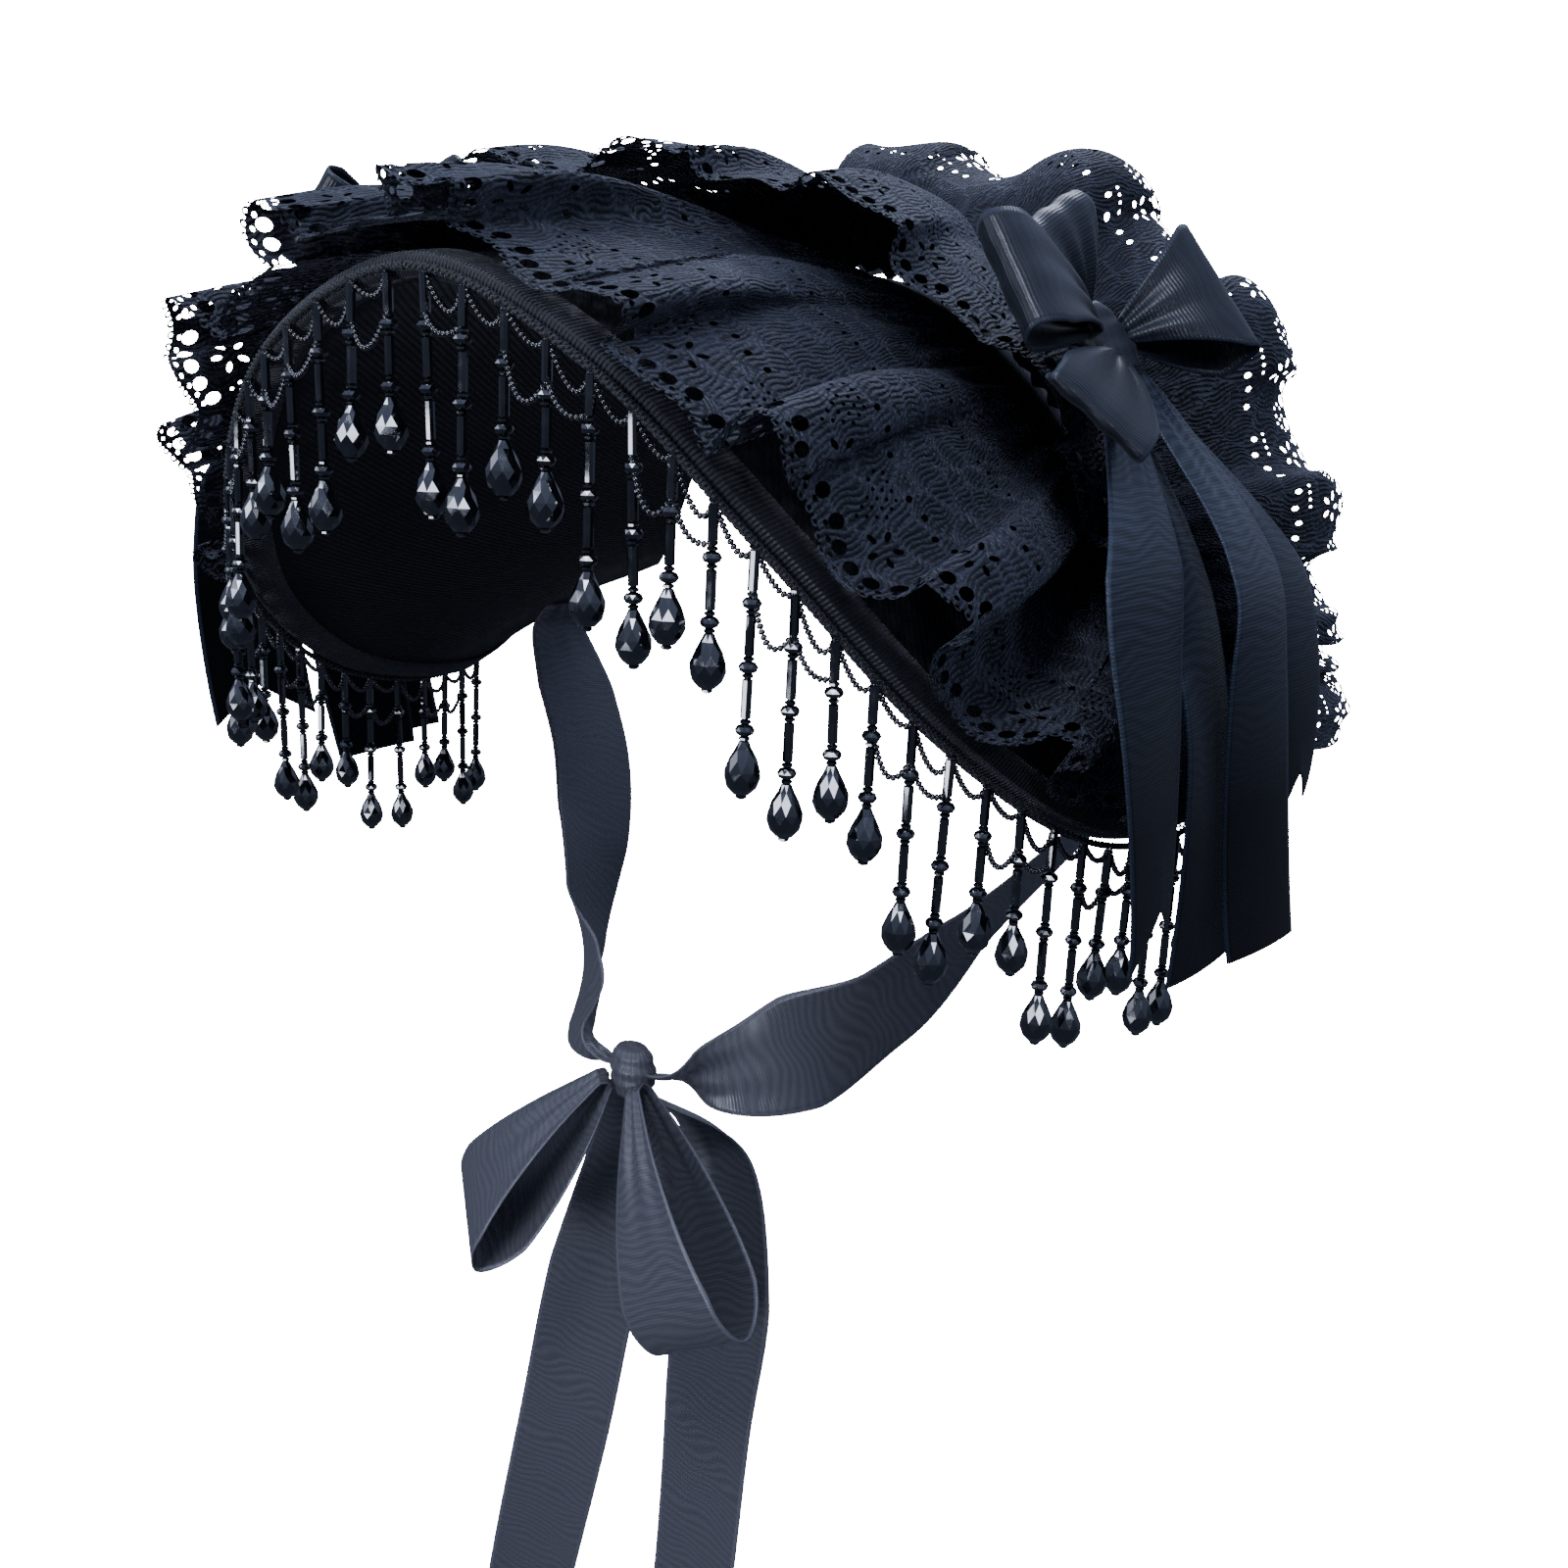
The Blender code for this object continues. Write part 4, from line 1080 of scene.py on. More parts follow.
@dataclass
class BeadFringe:
    """The fringe: strands of tubes, rondelles and drops, with swags of seed beads between them."""

    board: BrimBoard
    pitch: float = 13.03
    strands: int = 24
    half_edge: float = 340.0
    header: float = 2.5
    swag_bead: float = 1.2

    def tops(self, side: Side) -> np.ndarray:
        """Return where each strand leaves the heading."""
        arch = int(side) * (np.arange(self.strands) + 0.5) * self.pitch / self.half_edge
        return self.heading(arch)

    def heading(self, arch: np.ndarray) -> np.ndarray:
        """Return the middle of the heading tape."""
        clear = self.board.binding_gap + self.board.binding + 0.35 + self.header / 2
        return self.board.surface(arch, np.zeros_like(arch)) + self.board.off_edge(arch) * clear

    @staticmethod
    def is_long(side: Side, number: int) -> bool:
        """Long and short strands take turns in pairs."""
        return (number // 2) % 2 == (0 if side > 0 else 1)

    def strand(self, long: bool) -> list[Bead]:
        """List a strand's beads from the top."""
        unit_beads = [Bead.TUBE, Bead.SEED, Bead.RONDELLE, Bead.SEED]
        return [Bead.SEED] + unit_beads * (3 if long else 2) + [Bead.DROP, Bead.SEED]

    def build(self, side: Side, wardrobe: Wardrobe) -> None:
        """Build one half: heading, strands and swags.

        Args:
            side: Which half.
            wardrobe: The finishes.
        """
        shop = BeadShop()
        label = side.name.lower()
        points: list[np.ndarray] = []
        faces: list = []
        count = 0
        tops = self.tops(side)
        for number, top in enumerate(tops):
            tilt = np.array([0.018 * math.sin(5.1 * number + side), 0.02 * math.cos(3.7 * number), -1.0])
            along = tilt / np.linalg.norm(tilt)
            at = top - along * 0.2
            for step, kind in enumerate(self.strand(self.is_long(side, number))):
                shape, sides = shop.mesh(kind, at, along, 1.3 * number + 0.7 * step)
                points.append(shape)
                faces += [[count + i for i in f] for f in sides]
                count += len(shape)
                at = at + along * kind.value
        piece = add_piece(f"fringe_{label}_strands", np.concatenate(points), faces, wardrobe.jet, smooth=False)
        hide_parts(f"fringe_{label}")
        self.build_swags(side, tops, shop, wardrobe)
        self.build_heading(side, wardrobe)

    def build_swags(self, side: Side, tops: np.ndarray, shop: BeadShop, wardrobe: Wardrobe) -> None:
        """Hang double loops of seed beads between neighbouring strands."""
        points: list[np.ndarray] = []
        faces: list = []
        count = 0
        for number in range(len(tops) - 1):
            start, end = tops[number], tops[number + 1]
            sway = math.sin(2.1 * number + int(side))
            swags = ((0.6, 6.0 + 1.8 * sway, 1.4), (9.5, 5.4 - 2.4 * sway, -1.2))
            for low, sag, bow in swags[:1 if number % 3 == 1 else 2]:
                t = np.linspace(0.0, 1.0, 60)
                path = start + (end - start) * t[:, None]
                path[:, 2] -= low + sag * 4.0 * t * (1.0 - t)
                path[:, 1] += bow * np.sin(math.pi * t)
                length = np.concatenate(([0.0], np.cumsum(np.linalg.norm(np.diff(path, axis=0), axis=1))))
                beads = int(length[-1] / self.swag_bead)
                for k in range(beads):
                    here = np.array([np.interp((k + 0.0) * length[-1] / beads, length, path[:, i]) for i in range(3)])
                    there = np.array([np.interp((k + 0.8) * length[-1] / beads, length, path[:, i]) for i in range(3)])
                    along = (there - here) / np.linalg.norm(there - here)
                    shape, sides = shop.mesh(Bead.PEARL, here, along, 0.4 * k)
                    points.append(shape)
                    faces += [[count + i for i in f] for f in sides]
                    count += len(shape)
        label = side.name.lower()
        add_piece(f"fringe_{label}_swags", np.concatenate(points), faces, wardrobe.jet)

    def build_heading(self, side: Side, wardrobe: Wardrobe) -> None:
        """Braid a thin tape along the edge, which the strands hang from."""
        last = (self.strands - 0.2) * self.pitch / self.half_edge
        arch = int(side) * np.linspace(0.0005, last, 420)
        centre = self.heading(arch)
        out = self.board.off_edge(arch)
        up = self.board.normal(arch, np.zeros_like(arch))
        along = np.concatenate(([0.0], np.cumsum(np.linalg.norm(np.diff(centre, axis=0), axis=1))))
        points = []
        faces: list = []
        for ply in range(3):
            turn = along * 1.15 + ply * 2 * math.pi / 3
            line = centre + up * (0.55 * np.sin(turn))[:, None] + out * (0.45 * np.cos(turn))[:, None]
            rings = []
            for k in range(6):
                angle = 2 * math.pi * k / 6
                rings.append(line + up * (0.62 * math.sin(angle)) + out * (0.55 * math.cos(angle)))
            rings = np.array(rings + rings[:1]).transpose(1, 0, 2)
            faces += grid_faces(len(line), 7, start=sum(len(p) for p in points))
            points.append(rings.reshape(-1, 3))
        flat = np.concatenate([np.stack((np.repeat(along, 7), np.tile(np.arange(7.0), len(along))), axis=1)] * 3)
        label = side.name.lower()
        piece = add_piece(f"fringe_{label}_braid", np.concatenate(points), faces, wardrobe.grosgrain,
                          flat)
        weld(piece)


# ---------------------------------------------------------------- ribbons


@dataclass
class RibbonWork:
    """Satin ribbon laid along a line, with its pinches and soft pleats."""

    width: float = 38.0
    thickness: float = 0.55
    columns: int = 17

    def lay(self, name: str, node: str, path: np.ndarray, across: np.ndarray, widths: np.ndarray,
            finish: bpy.types.Material, closed: bool = False, notch: float = 0.0, cup: float = 0.0) -> bpy.types.Object:
        """Lay one length of ribbon.

        Args:
            name: The piece's name.
            node: The solid that it stands for.
            path: Points of its middle line.
            across: Unit vectors of its width.
            widths: Its width at each point, where a pinch makes it narrow.
            finish: Its material.
            closed: Whether its ends join.
            notch: How deep the end's swallowtail is cut.
            cup: How far its middle arches.

        Returns:
            The new object.
        """
        rows = len(path)
        side = np.linspace(-1.0, 1.0, self.columns)
        grid = path[:, None, :] + across[:, None, :] * (widths[:, None] / 2 * side[None, :])[:, :, None]
        normals = grid_normals(grid, closed)
        squeeze = np.clip(1.0 - widths / self.width, 0.0, 1.0)
        pleat = 1.1 * squeeze[:, None] ** 1.2 * np.sin(side[None, :] * 2.6 * math.pi) * np.minimum(1.0, widths / 14.0)[:, None]
        arch = cup * (1.0 - side[None, :] ** 2) * np.ones((rows, 1))
        grid = grid + normals * (pleat + arch)[:, :, None]
        if notch:
            depth = np.clip((np.arange(rows) - rows * 0.8) / (rows * 0.2), 0.0, 1.0) ** 1.5
            back = unit(path[-2] - path[-1])
            grid += back * (notch * depth[:, None] * (1.0 - np.abs(side)[None, :]))[:, :, None]
        points, faces = thin_wall(grid, self.thickness, closed)
        step = np.linalg.norm(np.diff(path, axis=0), axis=1)
        along = np.concatenate(([0.0], np.cumsum(step)))
        flat_x = np.tile(side * self.width / 2, rows)
        flat_y = np.repeat(along, self.columns)
        flat = np.stack((flat_x, flat_y), axis=1)
        piece = add_piece(name, points, faces, finish, np.vstack((flat, flat)))
        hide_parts(node)
        return piece


def smooth_line(stations: np.ndarray, count: int) -> np.ndarray:
    """Read a smooth line through a few stations."""
    keys = np.linspace(0.0, 1.0, len(stations))
    return smooth_table(keys, np.asarray(stations, float), np.linspace(0.0, 1.0, count))


@dataclass
class Knot:
    """The wrapped middle of a bow."""

    length: float
    width: float
    height: float

    def support(self, across: np.ndarray, out: np.ndarray, towards: np.ndarray) -> float:
        """Return how far the eight-sided knot reaches below its middle.

        Args:
            across: Unit vector of its width.
            out: Unit vector of its height.
            towards: Unit vector away from what it lies on.

        Returns:
            The distance.
        """
        angles = 2 * math.pi * (np.arange(8) + 0.5) / 8
        corners = np.outer(np.cos(angles) * self.width / 2, across) + np.outer(np.sin(angles) * self.height / 2, out)
        return float(np.max(-(corners @ towards)))

    def mesh(self, centre: np.ndarray, axes: tuple, rings: int = 19, sides: int = 32) -> tuple[np.ndarray, list]:
        """Wrap a plump band of cloth round the bow.

        Args:
            centre: Its middle.
            axes: Unit vectors along, across and outward.
            rings: Rings along it.
            sides: Points to a ring.

        Returns:
            Points and faces.
        """
        along, across, out = axes
        points = []
        for share in np.linspace(-0.5, 0.5, rings):
            plump = 0.70 + 0.30 * math.cos(math.pi * share) ** 0.8
            crease = 1.0 + 0.05 * math.sin(share * 22.0)
            angles = 2 * math.pi * np.arange(sides) / sides
            bulge = 1.0 + 0.035 * np.sin(3 * angles + 4.0 * share)
            x = np.cos(angles) * self.width / 2 * plump * bulge * crease
            y = np.sin(angles) * self.height / 2 * plump * bulge * crease
            points.append(centre + along * share * self.length + np.outer(x, across) + np.outer(y, out))
        faces = []
        for r in range(rings - 1):
            for k in range(sides):
                n = (k + 1) % sides
                faces.append([r * sides + k, r * sides + n, (r + 1) * sides + n, (r + 1) * sides + k])
        faces.append(list(range(sides - 1, -1, -1)))
        faces.append([(rings - 1) * sides + k for k in range(sides)])
        return np.concatenate(points), faces

    def build(self, name: str, node: str, centre: np.ndarray, axes: tuple, finish: bpy.types.Material) -> None:
        """Build the knot and let it stand for its solid.

        Args:
            name: The piece's name.
            node: The solid's name.
            centre: Its middle.
            axes: Unit vectors along, across and outward.
            finish: Its material.
        """
        points, faces = self.mesh(centre, axes)
        angles = np.tile(np.linspace(0.0, 2 * math.pi * self.width / 2, 32), 19)
        run = np.repeat(np.linspace(0.0, self.length, 19), 32)
        piece = add_piece(name, points, faces, finish, np.stack((run - self.length / 2, angles), axis=1))
        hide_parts(node)


@dataclass
class SideBow:
    """A bow with its knot, four loops and four tails, sewn to the flap on one side."""

    board: BrimBoard
    flap: FlapTier
    arch: float = 0.31
    search: float = 0.06
    turn: float = 0.3
    columns: int = 48
    row: float = 0.72
    loop_tip: float = 4.0
    gathered: float = 9.0
    pinch: float = 7.0
    knot: Knot = field(default_factory=lambda: Knot(20.0, 15.0, 9.0))
    loops: tuple = (
        ("back", 34.0, -1.0, 13.0, 8.0, 0.95, 0.0, 0.0),
        ("front", -48.0, 9.0, 22.0, 6.0, 0.8, 3.5, 1.0),
        ("top", -8.0, 27.0, 12.0, 5.0, 0.7, 6.0, -0.5),
        ("low", -49.0, -24.0, 22.0, 3.6, 0.72, -4.5, 1.5),
    )
    tails: tuple = (
        ("one", -1, 1, (0, -97, -59), (8, -102, -92), (10, -93, -155), 14.0),
        ("two", -1, 0, (-3, -66, -66), (6, -60, -104), (9, -46, -174), 0.0),
        ("three", 1, 1, (5, -44, -61), (14, -44, -96), (16, -23, -172), 0.0),
        ("four", 1, 0, (0, -12, -64), (10, -8, -92), (12, -2, -138), 14.0),
    )
    aside: dict = field(default_factory=lambda: {Side.RIGHT: 12.0, Side.LEFT: 0.0})

    def plain_flap(self, arch: float, across: float, rise: float, depth: float) -> np.ndarray:
        """Place a point of the flap's solid, without the fine folds of the cloth."""
        one = np.array([arch])
        base = self.board.surface(one, np.array([self.flap.seam - across * self.flap.reach]))
        seat = self.board.normal(one, np.array([self.flap.seam])) * self.flap.seat
        height = self.flap.puff(one)
        fold = 0.16 * height * depth * self.flap.wave(one)
        return (base + seat + self.board.radial(base) * (rise * height + fold)[:, None])[0]

    def stand(self, side: Side) -> tuple[np.ndarray, np.ndarray, np.ndarray, np.ndarray]:
        """Return the knot's middle and the ways back, up the slope and outward."""
        spots = np.linspace(-self.flap.span, self.flap.span, self.columns)
        near = spots[np.abs(spots - int(side) * self.arch) < self.search]
        arch = float(near[np.argmax(self.flap.wave(near))])
        across, rise, depth = 0.66, 1.0, 0.8
        spot = self.plain_flap(arch, across, rise, depth)
        ahead = self.plain_flap(arch + 0.02, across, rise, 0.0) - self.plain_flap(arch - 0.02, across, rise, 0.0)
        down = self.plain_flap(arch, across + 0.05, rise, 0.0) - self.plain_flap(arch, across, rise, 0.0)
        out = unit(np.cross(ahead, down))
        if np.dot(out, self.board.radial(spot[None])[0]) < 0:
            out = -out
        face = unit(out - self.turn * BACKWARD_AXIS)
        back = unit(BACKWARD_AXIS - face * face[1])
        slope = unit(np.cross(back, face))
        slope = slope if slope[2] > 0 else -slope
        centre = spot + out * (0.6 + 0.35 + self.knot.support(back, face, out))
        return centre, back, slope, face

    def build(self, side: Side, wardrobe: Wardrobe) -> None:
        """Build the bow.

        Args:
            side: Which side of the bonnet.
            wardrobe: The finishes.
        """
        label = side.name.lower()
        work = RibbonWork()
        centre, back, slope, out = self.stand(side)
        self.knot.build(f"bow_{label}_knot_satin", f"bow_{label}_knot", centre, (slope, back, out), wardrobe.satin)
        for name, to_back, to_top, lift, opening, share, up, raised in self.loops:
            flat = back * to_back + slope * to_top
            reach = float(np.linalg.norm(flat)) - self.loop_tip
            heading = unit(flat + out * lift)
            lift_axis = unit(out - heading * np.dot(out, heading))
            across = np.cross(heading, lift_axis)
            start = centre + slope * up + out * raised + heading * 5.5
            path, widths = loop_line(start, heading, lift_axis, reach, opening, work.width * share, self.pinch)
            work.lay(f"bow_{label}_loop_{name}_satin", f"bow_{label}_loop_{name}", path,
                     np.broadcast_to(across, path.shape).copy(), widths, wardrobe.satin, closed=True)
        for number, (name, place, layer, upper, middle, low, notch) in enumerate(self.tails):
            lead = centre - slope * (self.knot.length / 2 + 0.35)
            lead = lead + back * place * (self.gathered / 2 + 0.35) + out * (layer * 2.2 - 3.0)
            stations = [lead]
            for past, along, down in (upper, middle, low):
                stations.append(np.array([side * (self.board.half_width + past + self.aside[side]), along, down], float))
            path = smooth_line(np.array(stations), 90)
            t = np.linspace(0.0, 1.0, 90)
            path[:, 0] += side * 1.6 * np.sin(9.0 * t + 2.0 * number) * t
            widths = self.gathered + (work.width - self.gathered) * np.clip(2.6 * t, 0.0, 1.0) ** 0.9
            turned = np.zeros_like(path)
            turned[:, 1] = 1.0
            turned[:, 0] = side * 0.16 * np.sin(5.0 * t + 1.7 * number) * t
            work.lay(f"bow_{label}_tail_{name}_satin", f"bow_{label}_tail_{name}", path, unit(turned), widths,
                     wardrobe.moire, notch=notch, cup=side * 1.2)


def loop_line(start: np.ndarray, heading: np.ndarray, lift: np.ndarray, reach: float, opening: float,
              width: float, pinch: float) -> tuple[np.ndarray, np.ndarray]:
    """Lay out the line of a bow loop, out from the knot and back to it.

    Args:
        start: Where it leaves the knot.
        heading: Unit vector to its tip.
        lift: Unit vector across its opening.
        reach: Distance to its tip.
        opening: Half the height of its opening.
        width: The ribbon's width when it is open.
        pinch: The ribbon's width at the knot.

    Returns:
        Points of the line, and the width at each.
    """
    profile = np.array([(0.0, 0.22), (0.3, 0.75), (0.62, 1.0), (0.88, 0.8), (1.0, 0.0),
                        (0.88, -0.8), (0.62, -1.0), (0.3, -0.75), (0.0, -0.22)])
    line = smooth_line(profile, 64)
    line = np.vstack((line, [[-0.02, 0.0]]))
    path = start + np.outer(line[:, 0] * reach, heading) + np.outer(line[:, 1] * opening, lift)
    widths = pinch + (width - pinch) * np.clip(1.25 * line[:, 0], 0.0, 1.0)
    return path, widths


@dataclass
class ChinTie:
    """The ribbons from the board to the chin, and the bow tied there."""

    board: BrimBoard
    drop: float = 237.0
    forward: float = 92.0
    knot: float = 16.0
    knot_depth: float = 11.2
    pinch: float = 5.0
    spread: float = 112.0
    seam: tuple = (0.82, 0.55)
    lead: tuple = (9.0, 4.5)
    gathered: float = 9.0
    loop_pinch: float = 7.0
    run: tuple = (
        (0.98, 0.0, -146.0, 0.0),
        (0.84, -8.0, -168.0, 0.05),
        (0.70, -24.0, -190.0, 0.15),
        (0.55, -46.0, -214.0, 0.35),
        (0.36, -70.0, -229.0, 0.55),
        (0.20, -85.0, -235.0, 0.6),
    )
    tails: tuple = (("right", -1, (-14, -74, -264), (-29, -76, -330), (-42, -75, -396), (-66, -73, -492)),
                    ("left", 1, (20, -74, -264), (28, -78, -310), (22, -77, -365), (16, -75, -447)))
    loops: tuple = (("right", (-44.0, -62.0), 9.0, 0.45), ("left", (40.0, -66.0), 11.0, 0.12))

    def build(self, wardrobe: Wardrobe) -> None:
        """Build both runs, the knot, the loops and the tails.

        Args:
            wardrobe: The finishes.
        """
        for side in Side:
            self.build_run(side, wardrobe)
        self.build_bow(wardrobe)

    def build_run(self, side: Side, wardrobe: Wardrobe) -> None:
        """Run a ribbon from inside the board down to the chin knot."""
        arch = np.array([side * self.seam[0]])
        rib = np.array([self.seam[1]])
        inward = -self.board.normal(arch, rib)[0]
        down_slope = unit(np.array([0.0, 0.0, -1.0]) + inward * inward[2])
        seam = self.board.surface(arch, rib)[0] + inward * (self.board.board / 2 + 1.3)
        width_axis = np.cross(inward, down_slope)
        width_axis = width_axis if width_axis[1] > 0 else -width_axis
        stations, sides = [seam, seam + down_slope * self.lead[0] + inward * self.lead[1]], [width_axis, width_axis]
        for out, along, down, turn in self.run:
            stations.append(np.array([side * out * self.spread, along, down]))
            sides.append(unit(np.array([side * turn, 1.0 - turn, 0.0])))
        stations.append(np.array([side * (self.knot / 2 * math.cos(math.pi / 8) + self.pinch / 4 - 2.5), -self.forward, -self.drop]))
        sides.append(sides[-1])
        count = 110
        path = smooth_line(np.array(stations), count)
        turned = smooth_line(np.array(sides), count)
        step = unit(np.gradient(path, axis=0))
        across = unit(turned - step * np.sum(turned * step, axis=1, keepdims=True))
        place = np.linspace(0.0, 12.0, count)
        shares = np.minimum(1.0, np.minimum(0.25 + 0.25 * place, 0.3 * (12.0 - place)))
        work = RibbonWork()
        widths = self.pinch + (work.width - self.pinch) * np.maximum(shares, 0.0)
        label = side.name.lower()
        work.lay(f"chin_ribbon_{label}_satin", f"chin_ribbon_{label}", path, across, widths, wardrobe.chin)

    def build_bow(self, wardrobe: Wardrobe) -> None:
        """Tie the bow under the chin."""
        centre = np.array([0.0, -self.forward, -self.drop])
        x_axis, y_axis, z_axis = np.eye(3)
        work = RibbonWork()
        Knot(self.knot, self.knot, self.knot_depth).build("chin_knot_satin", "chin_knot", centre,
                                                          (z_axis, x_axis, y_axis), wardrobe.chin)
        for label, (aside, down), opening, turn in self.loops:
            heading = unit(np.array([aside, -15.0, down]))
            reach = math.hypot(aside, down)
            start = centre + np.array([math.copysign(4.8, aside), -4.5, 0.0]) + heading * 4.0
            level = np.array([math.cos(turn), -math.sin(turn), 0.0])
            across = unit(level - heading * np.dot(level, heading))
            lift = np.cross(heading, across)
            path, widths = loop_line(start, heading, lift, reach, opening, work.width, self.loop_pinch)
            work.lay(f"chin_loop_{label}_satin", f"chin_loop_{label}", path, np.broadcast_to(across, path.shape).copy(),
                     widths, wardrobe.chin, closed=True)
        for label, side, *stations in self.tails:
            lead = centre + np.array([side * (self.gathered / 2 + 0.35), 2.6, -self.knot / 2 - 0.85])
            path = smooth_line(np.array([lead] + [np.array(p, float) for p in stations]), 110)
            t = np.linspace(0.0, 1.0, 110)
            path[:, 1] += 1.8 * np.sin(8.0 * t + side) * t
            widths = self.gathered + (work.width - self.gathered) * np.clip(2.0 * t, 0.0, 1.0) ** 0.7
            turned = np.tile(x_axis, (110, 1))
            turned[:, 1] = 0.18 * np.sin(4.0 * t + side) * t
            work.lay(f"chin_tail_{label}_satin", f"chin_tail_{label}", path, unit(turned), widths, wardrobe.chin,
                     cup=-0.8)


# ---------------------------------------------------------------- studio


@dataclass
class Studio:
    """The pale sweep, the soft lamps and the camera."""

    floor: float = -510.0
    glow: float = 30.0
    air: str = "c3d3ff"
    lamp_tone: str = "e6edff"
    eye: tuple = (283.2, -428.2, -21.2)
    back: tuple = (0.54626, -0.79392, 0.26705)
    right: tuple = (0.82384, 0.56685, 0.0)
    roll: float = -0.04921633
    lens: float = 35.365

    def build(self) -> None:
        """Set up the sweep, the lamps, the sky and the camera."""
        self.build_sweep()
        self.lamp("key lamp", (250.0, -820.0, 900.0), 300.0, 5.5)
        self.lamp("fill lamp", (-800.0, -860.0, 420.0), 600.0, 2.2)
        self.lamp("rim lamp", (-300.0, 700.0, 800.0), 400.0, 4.0)
        self.lamp("front lamp", (-60.0, -1000.0, -240.0), 300.0, 3.4)
        self.lamp("side strip", (900.0, -560.0, 260.0), 110.0, 0.9)
        world = bpy.data.worlds.new("studio air")
        world.use_nodes = True
        tree = world.node_tree
        sky = add_node(tree, "ShaderNodeSeparateXYZ", {"Vector": add_node(tree, "ShaderNodeTexCoord").outputs["Generated"]})
        glow = add_node(tree, "ShaderNodeMapRange", {"Value": sky.outputs["Z"]},
                        From_Min=-0.1, From_Max=0.9, To_Min=0.1, To_Max=0.75)
        tree.nodes["Background"].inputs["Color"].default_value = linear(self.air)
        tree.links.new(glow.outputs["Result"], tree.nodes["Background"].inputs["Strength"])
        bpy.context.scene.world = world
        self.build_camera()

    def light_glass(self, glass: list) -> None:
        """Hang the tall soft boxes whose reflections the cut glass shows, and light nothing else.

        Args:
            glass: The bead pieces.
        """
        lit = bpy.data.collections.new("glass in the tall boxes")
        for piece in glass:
            lit.objects.link(piece)
        for name, place, size, power in (("left tall box", (-520.0, -1050.0, 330.0), 420.0, 5.0),
                                         ("right tall box", (840.0, -760.0, 420.0), 380.0, 5.0),
                                         ("overhead box", (60.0, -420.0, 900.0), 420.0, 5.0)):
            made = self.lamp(name, place, size, power)
            made.light_linking.receiver_collection = lit

    def build_sweep(self) -> None:
        """Set the bonnet over a pale floor that runs up into a round white sweep.

        The sweep glows for the eye alone, so that it doesn't flood the black cloth with light.
        """
        paper = bpy.data.materials.new("lit white paper")
        paper.use_nodes = True
        shader = paper.node_tree.nodes["Principled BSDF"]
        shader.inputs["Base Color"].default_value = linear("ffffff")
        shader.inputs["Emission Color"].default_value = linear("ffffff")
        shader.inputs["Emission Strength"].default_value = self.glow
        rings, sides, radius = 24, 64, 5000.0
        points = [(0.0, 0.0, self.floor)]
        for number in range(1, rings + 1):
            share = number / rings
            turn = max(share - 0.35, 0.0) / 0.65 * math.pi * 0.98
            flat = radius * (min(share, 0.35) / 0.35 * 0.6 + 0.4 * math.sin(turn)) * (1.0 if turn < 1.57 else 1.0)
            if turn > math.pi / 2:
                flat = radius * math.sin(turn)
            height = self.floor + radius * 0.5 * (1.0 - math.cos(turn))
            points += [(flat * math.cos(2 * math.pi * k / sides), flat * math.sin(2 * math.pi * k / sides), height)
                       for k in range(sides)]
        faces = [[0, 1 + k, 1 + (k + 1) % sides] for k in range(sides)]
        for r in range(rings - 1):
            for k in range(sides):
                a, b = 1 + r * sides + k, 1 + r * sides + (k + 1) % sides
                faces.append([a, a + sides, b + sides, b])
        mesh = bpy.data.meshes.new("sweep")
        mesh.from_pydata((np.array(points) * MM).tolist(), [], faces)
        mesh.polygons.foreach_set("use_smooth", [True] * len(mesh.polygons))
        mesh.materials.append(paper)
        sweep = bpy.data.objects.new("sweep", mesh)
        sweep.visible_diffuse = False
        sweep.visible_glossy = False
        sweep.visible_transmission = False
        sweep.visible_shadow = False
        bpy.context.scene.collection.objects.link(sweep)

    def lamp(self, name: str, place: tuple, size: float, power: float) -> bpy.types.Object:
        """Hang a square soft lamp that faces the bonnet.

        Args:
            name: The lamp's name.
            place: Where it hangs, in millimetres.
            size: Its side, in millimetres.
            power: Its power in watts.

        Returns:
            The lamp.
        """
        data = bpy.data.lights.new(name, "AREA")
        data.shape = "SQUARE"
        data.size = size * MM
        data.energy = power
        data.color = linear(self.lamp_tone)[:3]
        made = bpy.data.objects.new(name, data)
        made.location = Vector(place) * MM
        aim = Vector((0.0, -60.0, -80.0)) * MM - made.location
        made.rotation_euler = aim.to_track_quat("-Z", "Y").to_euler()
        bpy.context.scene.collection.objects.link(made)
        return made

    def build_camera(self) -> None:
        """Stand the camera where the photograph was taken from."""
        back = Vector(self.back).normalized()
        right = Vector(self.right).normalized()
        up = back.cross(right)
        turned_right = right * math.cos(self.roll) - up * math.sin(self.roll)
        turned_up = right * math.sin(self.roll) + up * math.cos(self.roll)
        data = bpy.data.cameras.new("camera")
        data.sensor_width = 36.0
        data.lens = self.lens
        data.clip_start = 0.01
        made = bpy.data.objects.new("camera", data)
        axes = Matrix((turned_right, turned_up, back)).transposed().to_4x4()
        made.matrix_world = Matrix.Translation(Vector(self.eye) * MM) @ axes
        bpy.context.scene.collection.objects.link(made)
        bpy.context.scene.camera = made


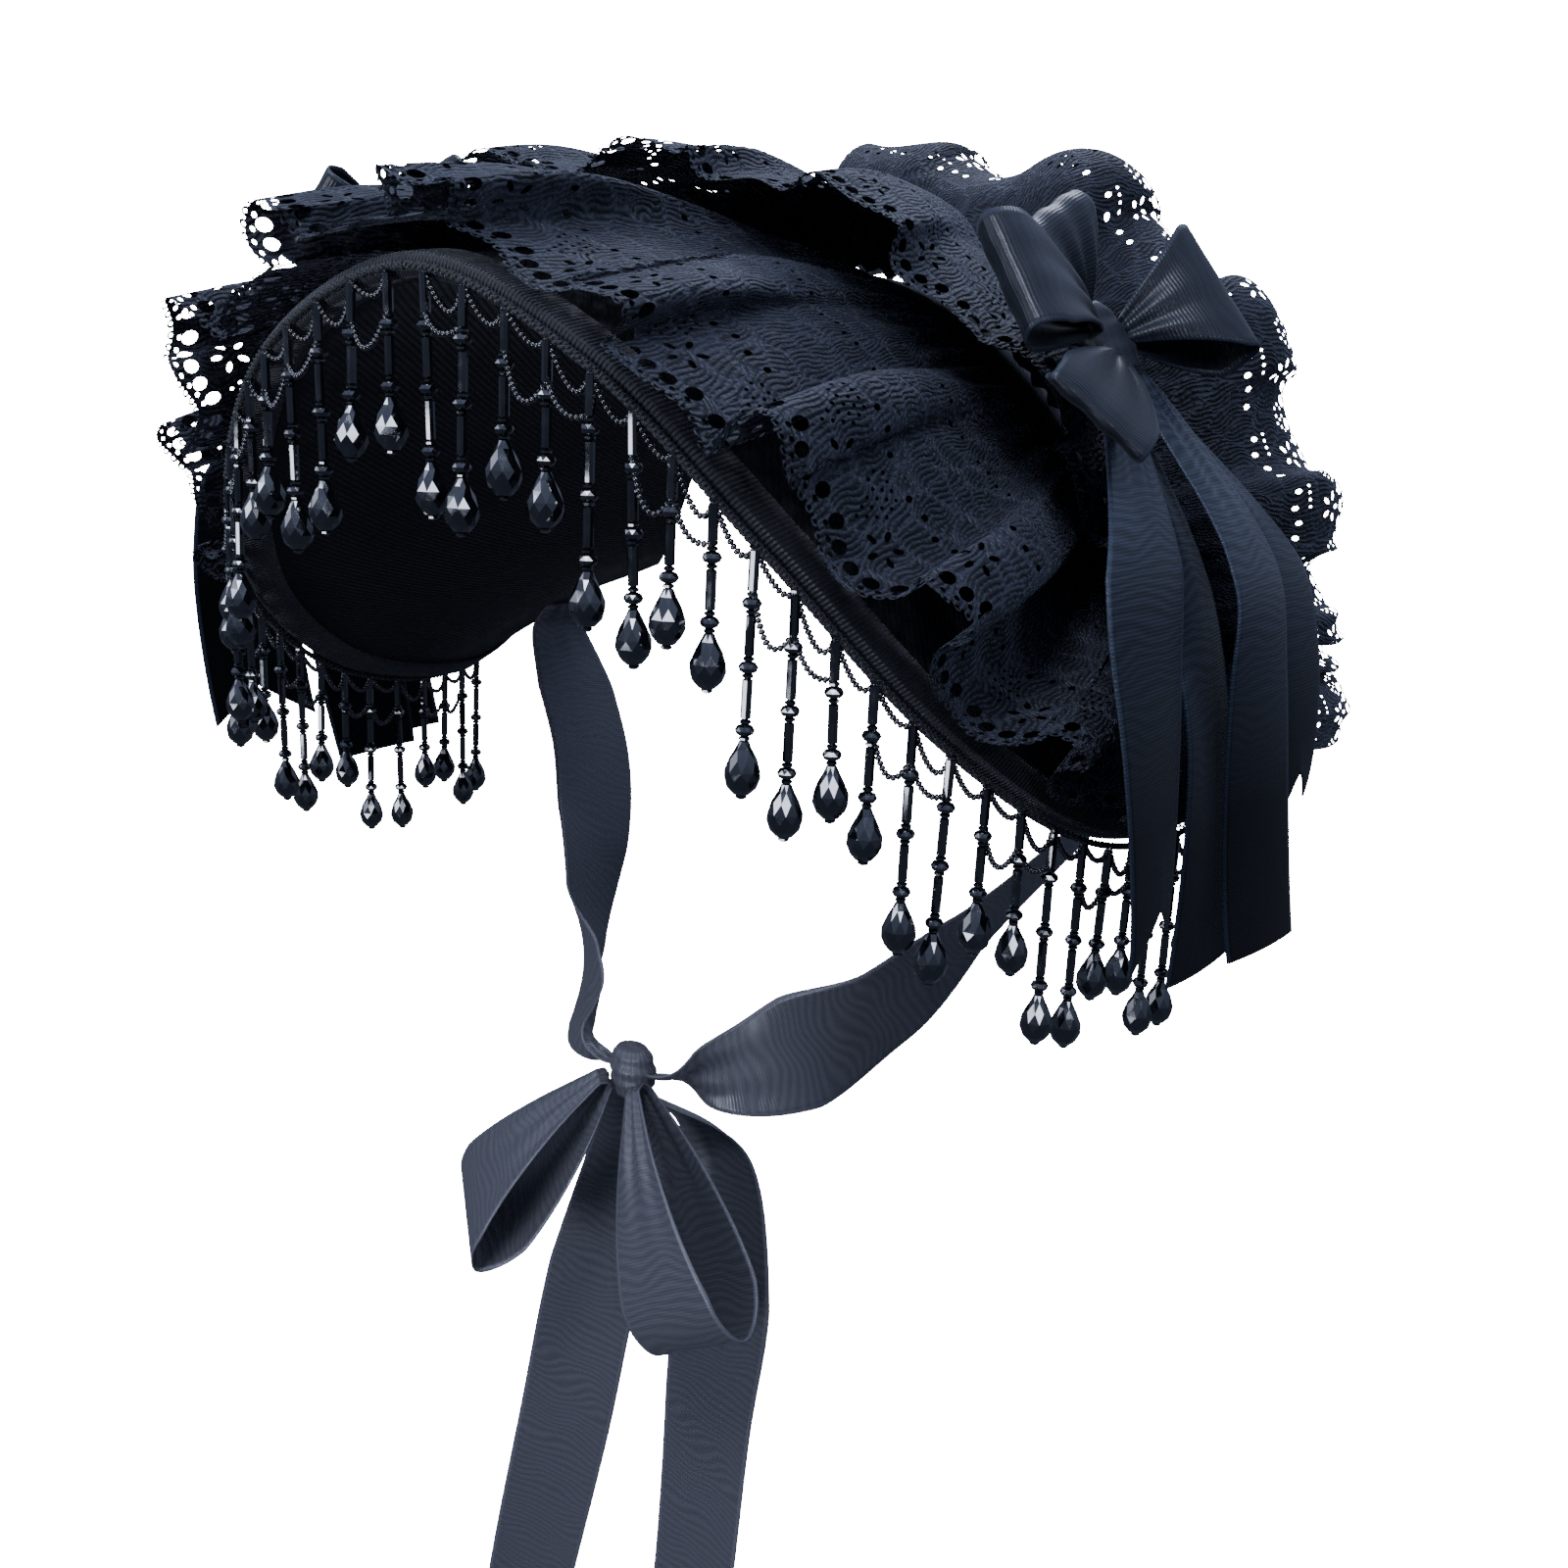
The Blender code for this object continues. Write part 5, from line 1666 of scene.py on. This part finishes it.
def main() -> None:
    """Build the bonnet's pieces in order, from the board outward."""
    logging.basicConfig(level=logging.INFO, format="%(message)s")
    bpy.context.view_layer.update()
    wardrobe = Wardrobe.fill()
    studio = Studio()
    studio.build()
    board = BrimBoard()
    board.build(wardrobe)
    front = FrontTier(board, "lace_front_ruffle", "lace_front", 0, 0.94, FRONT_PROFILE, 15.0, 0.4, 0.52, 0.016)
    flap = FlapTier(board, "lace_flap_ruffle", "lace_flap", 1, 0.56, FLAP_PROFILE, 13.0, 1.2, 0.16, 0.01)
    back = BackTier(board, "lace_back_ruffle", "lace_back", 2, 1.0, BACK_PROFILE, 13.0, 2.0, 0.15, 0.012)
    for tier in (front, flap, back):
        tier.build(wardrobe)
    fringe = BeadFringe(board)
    bow = SideBow(board, flap)
    for side in Side:
        fringe.build(side, wardrobe)
        bow.build(side, wardrobe)
    ChinTie(board).build(wardrobe)
    studio.light_glass([piece for piece in bpy.data.objects if piece.name.endswith("_strands")])


if __name__ == "__main__":
    main()
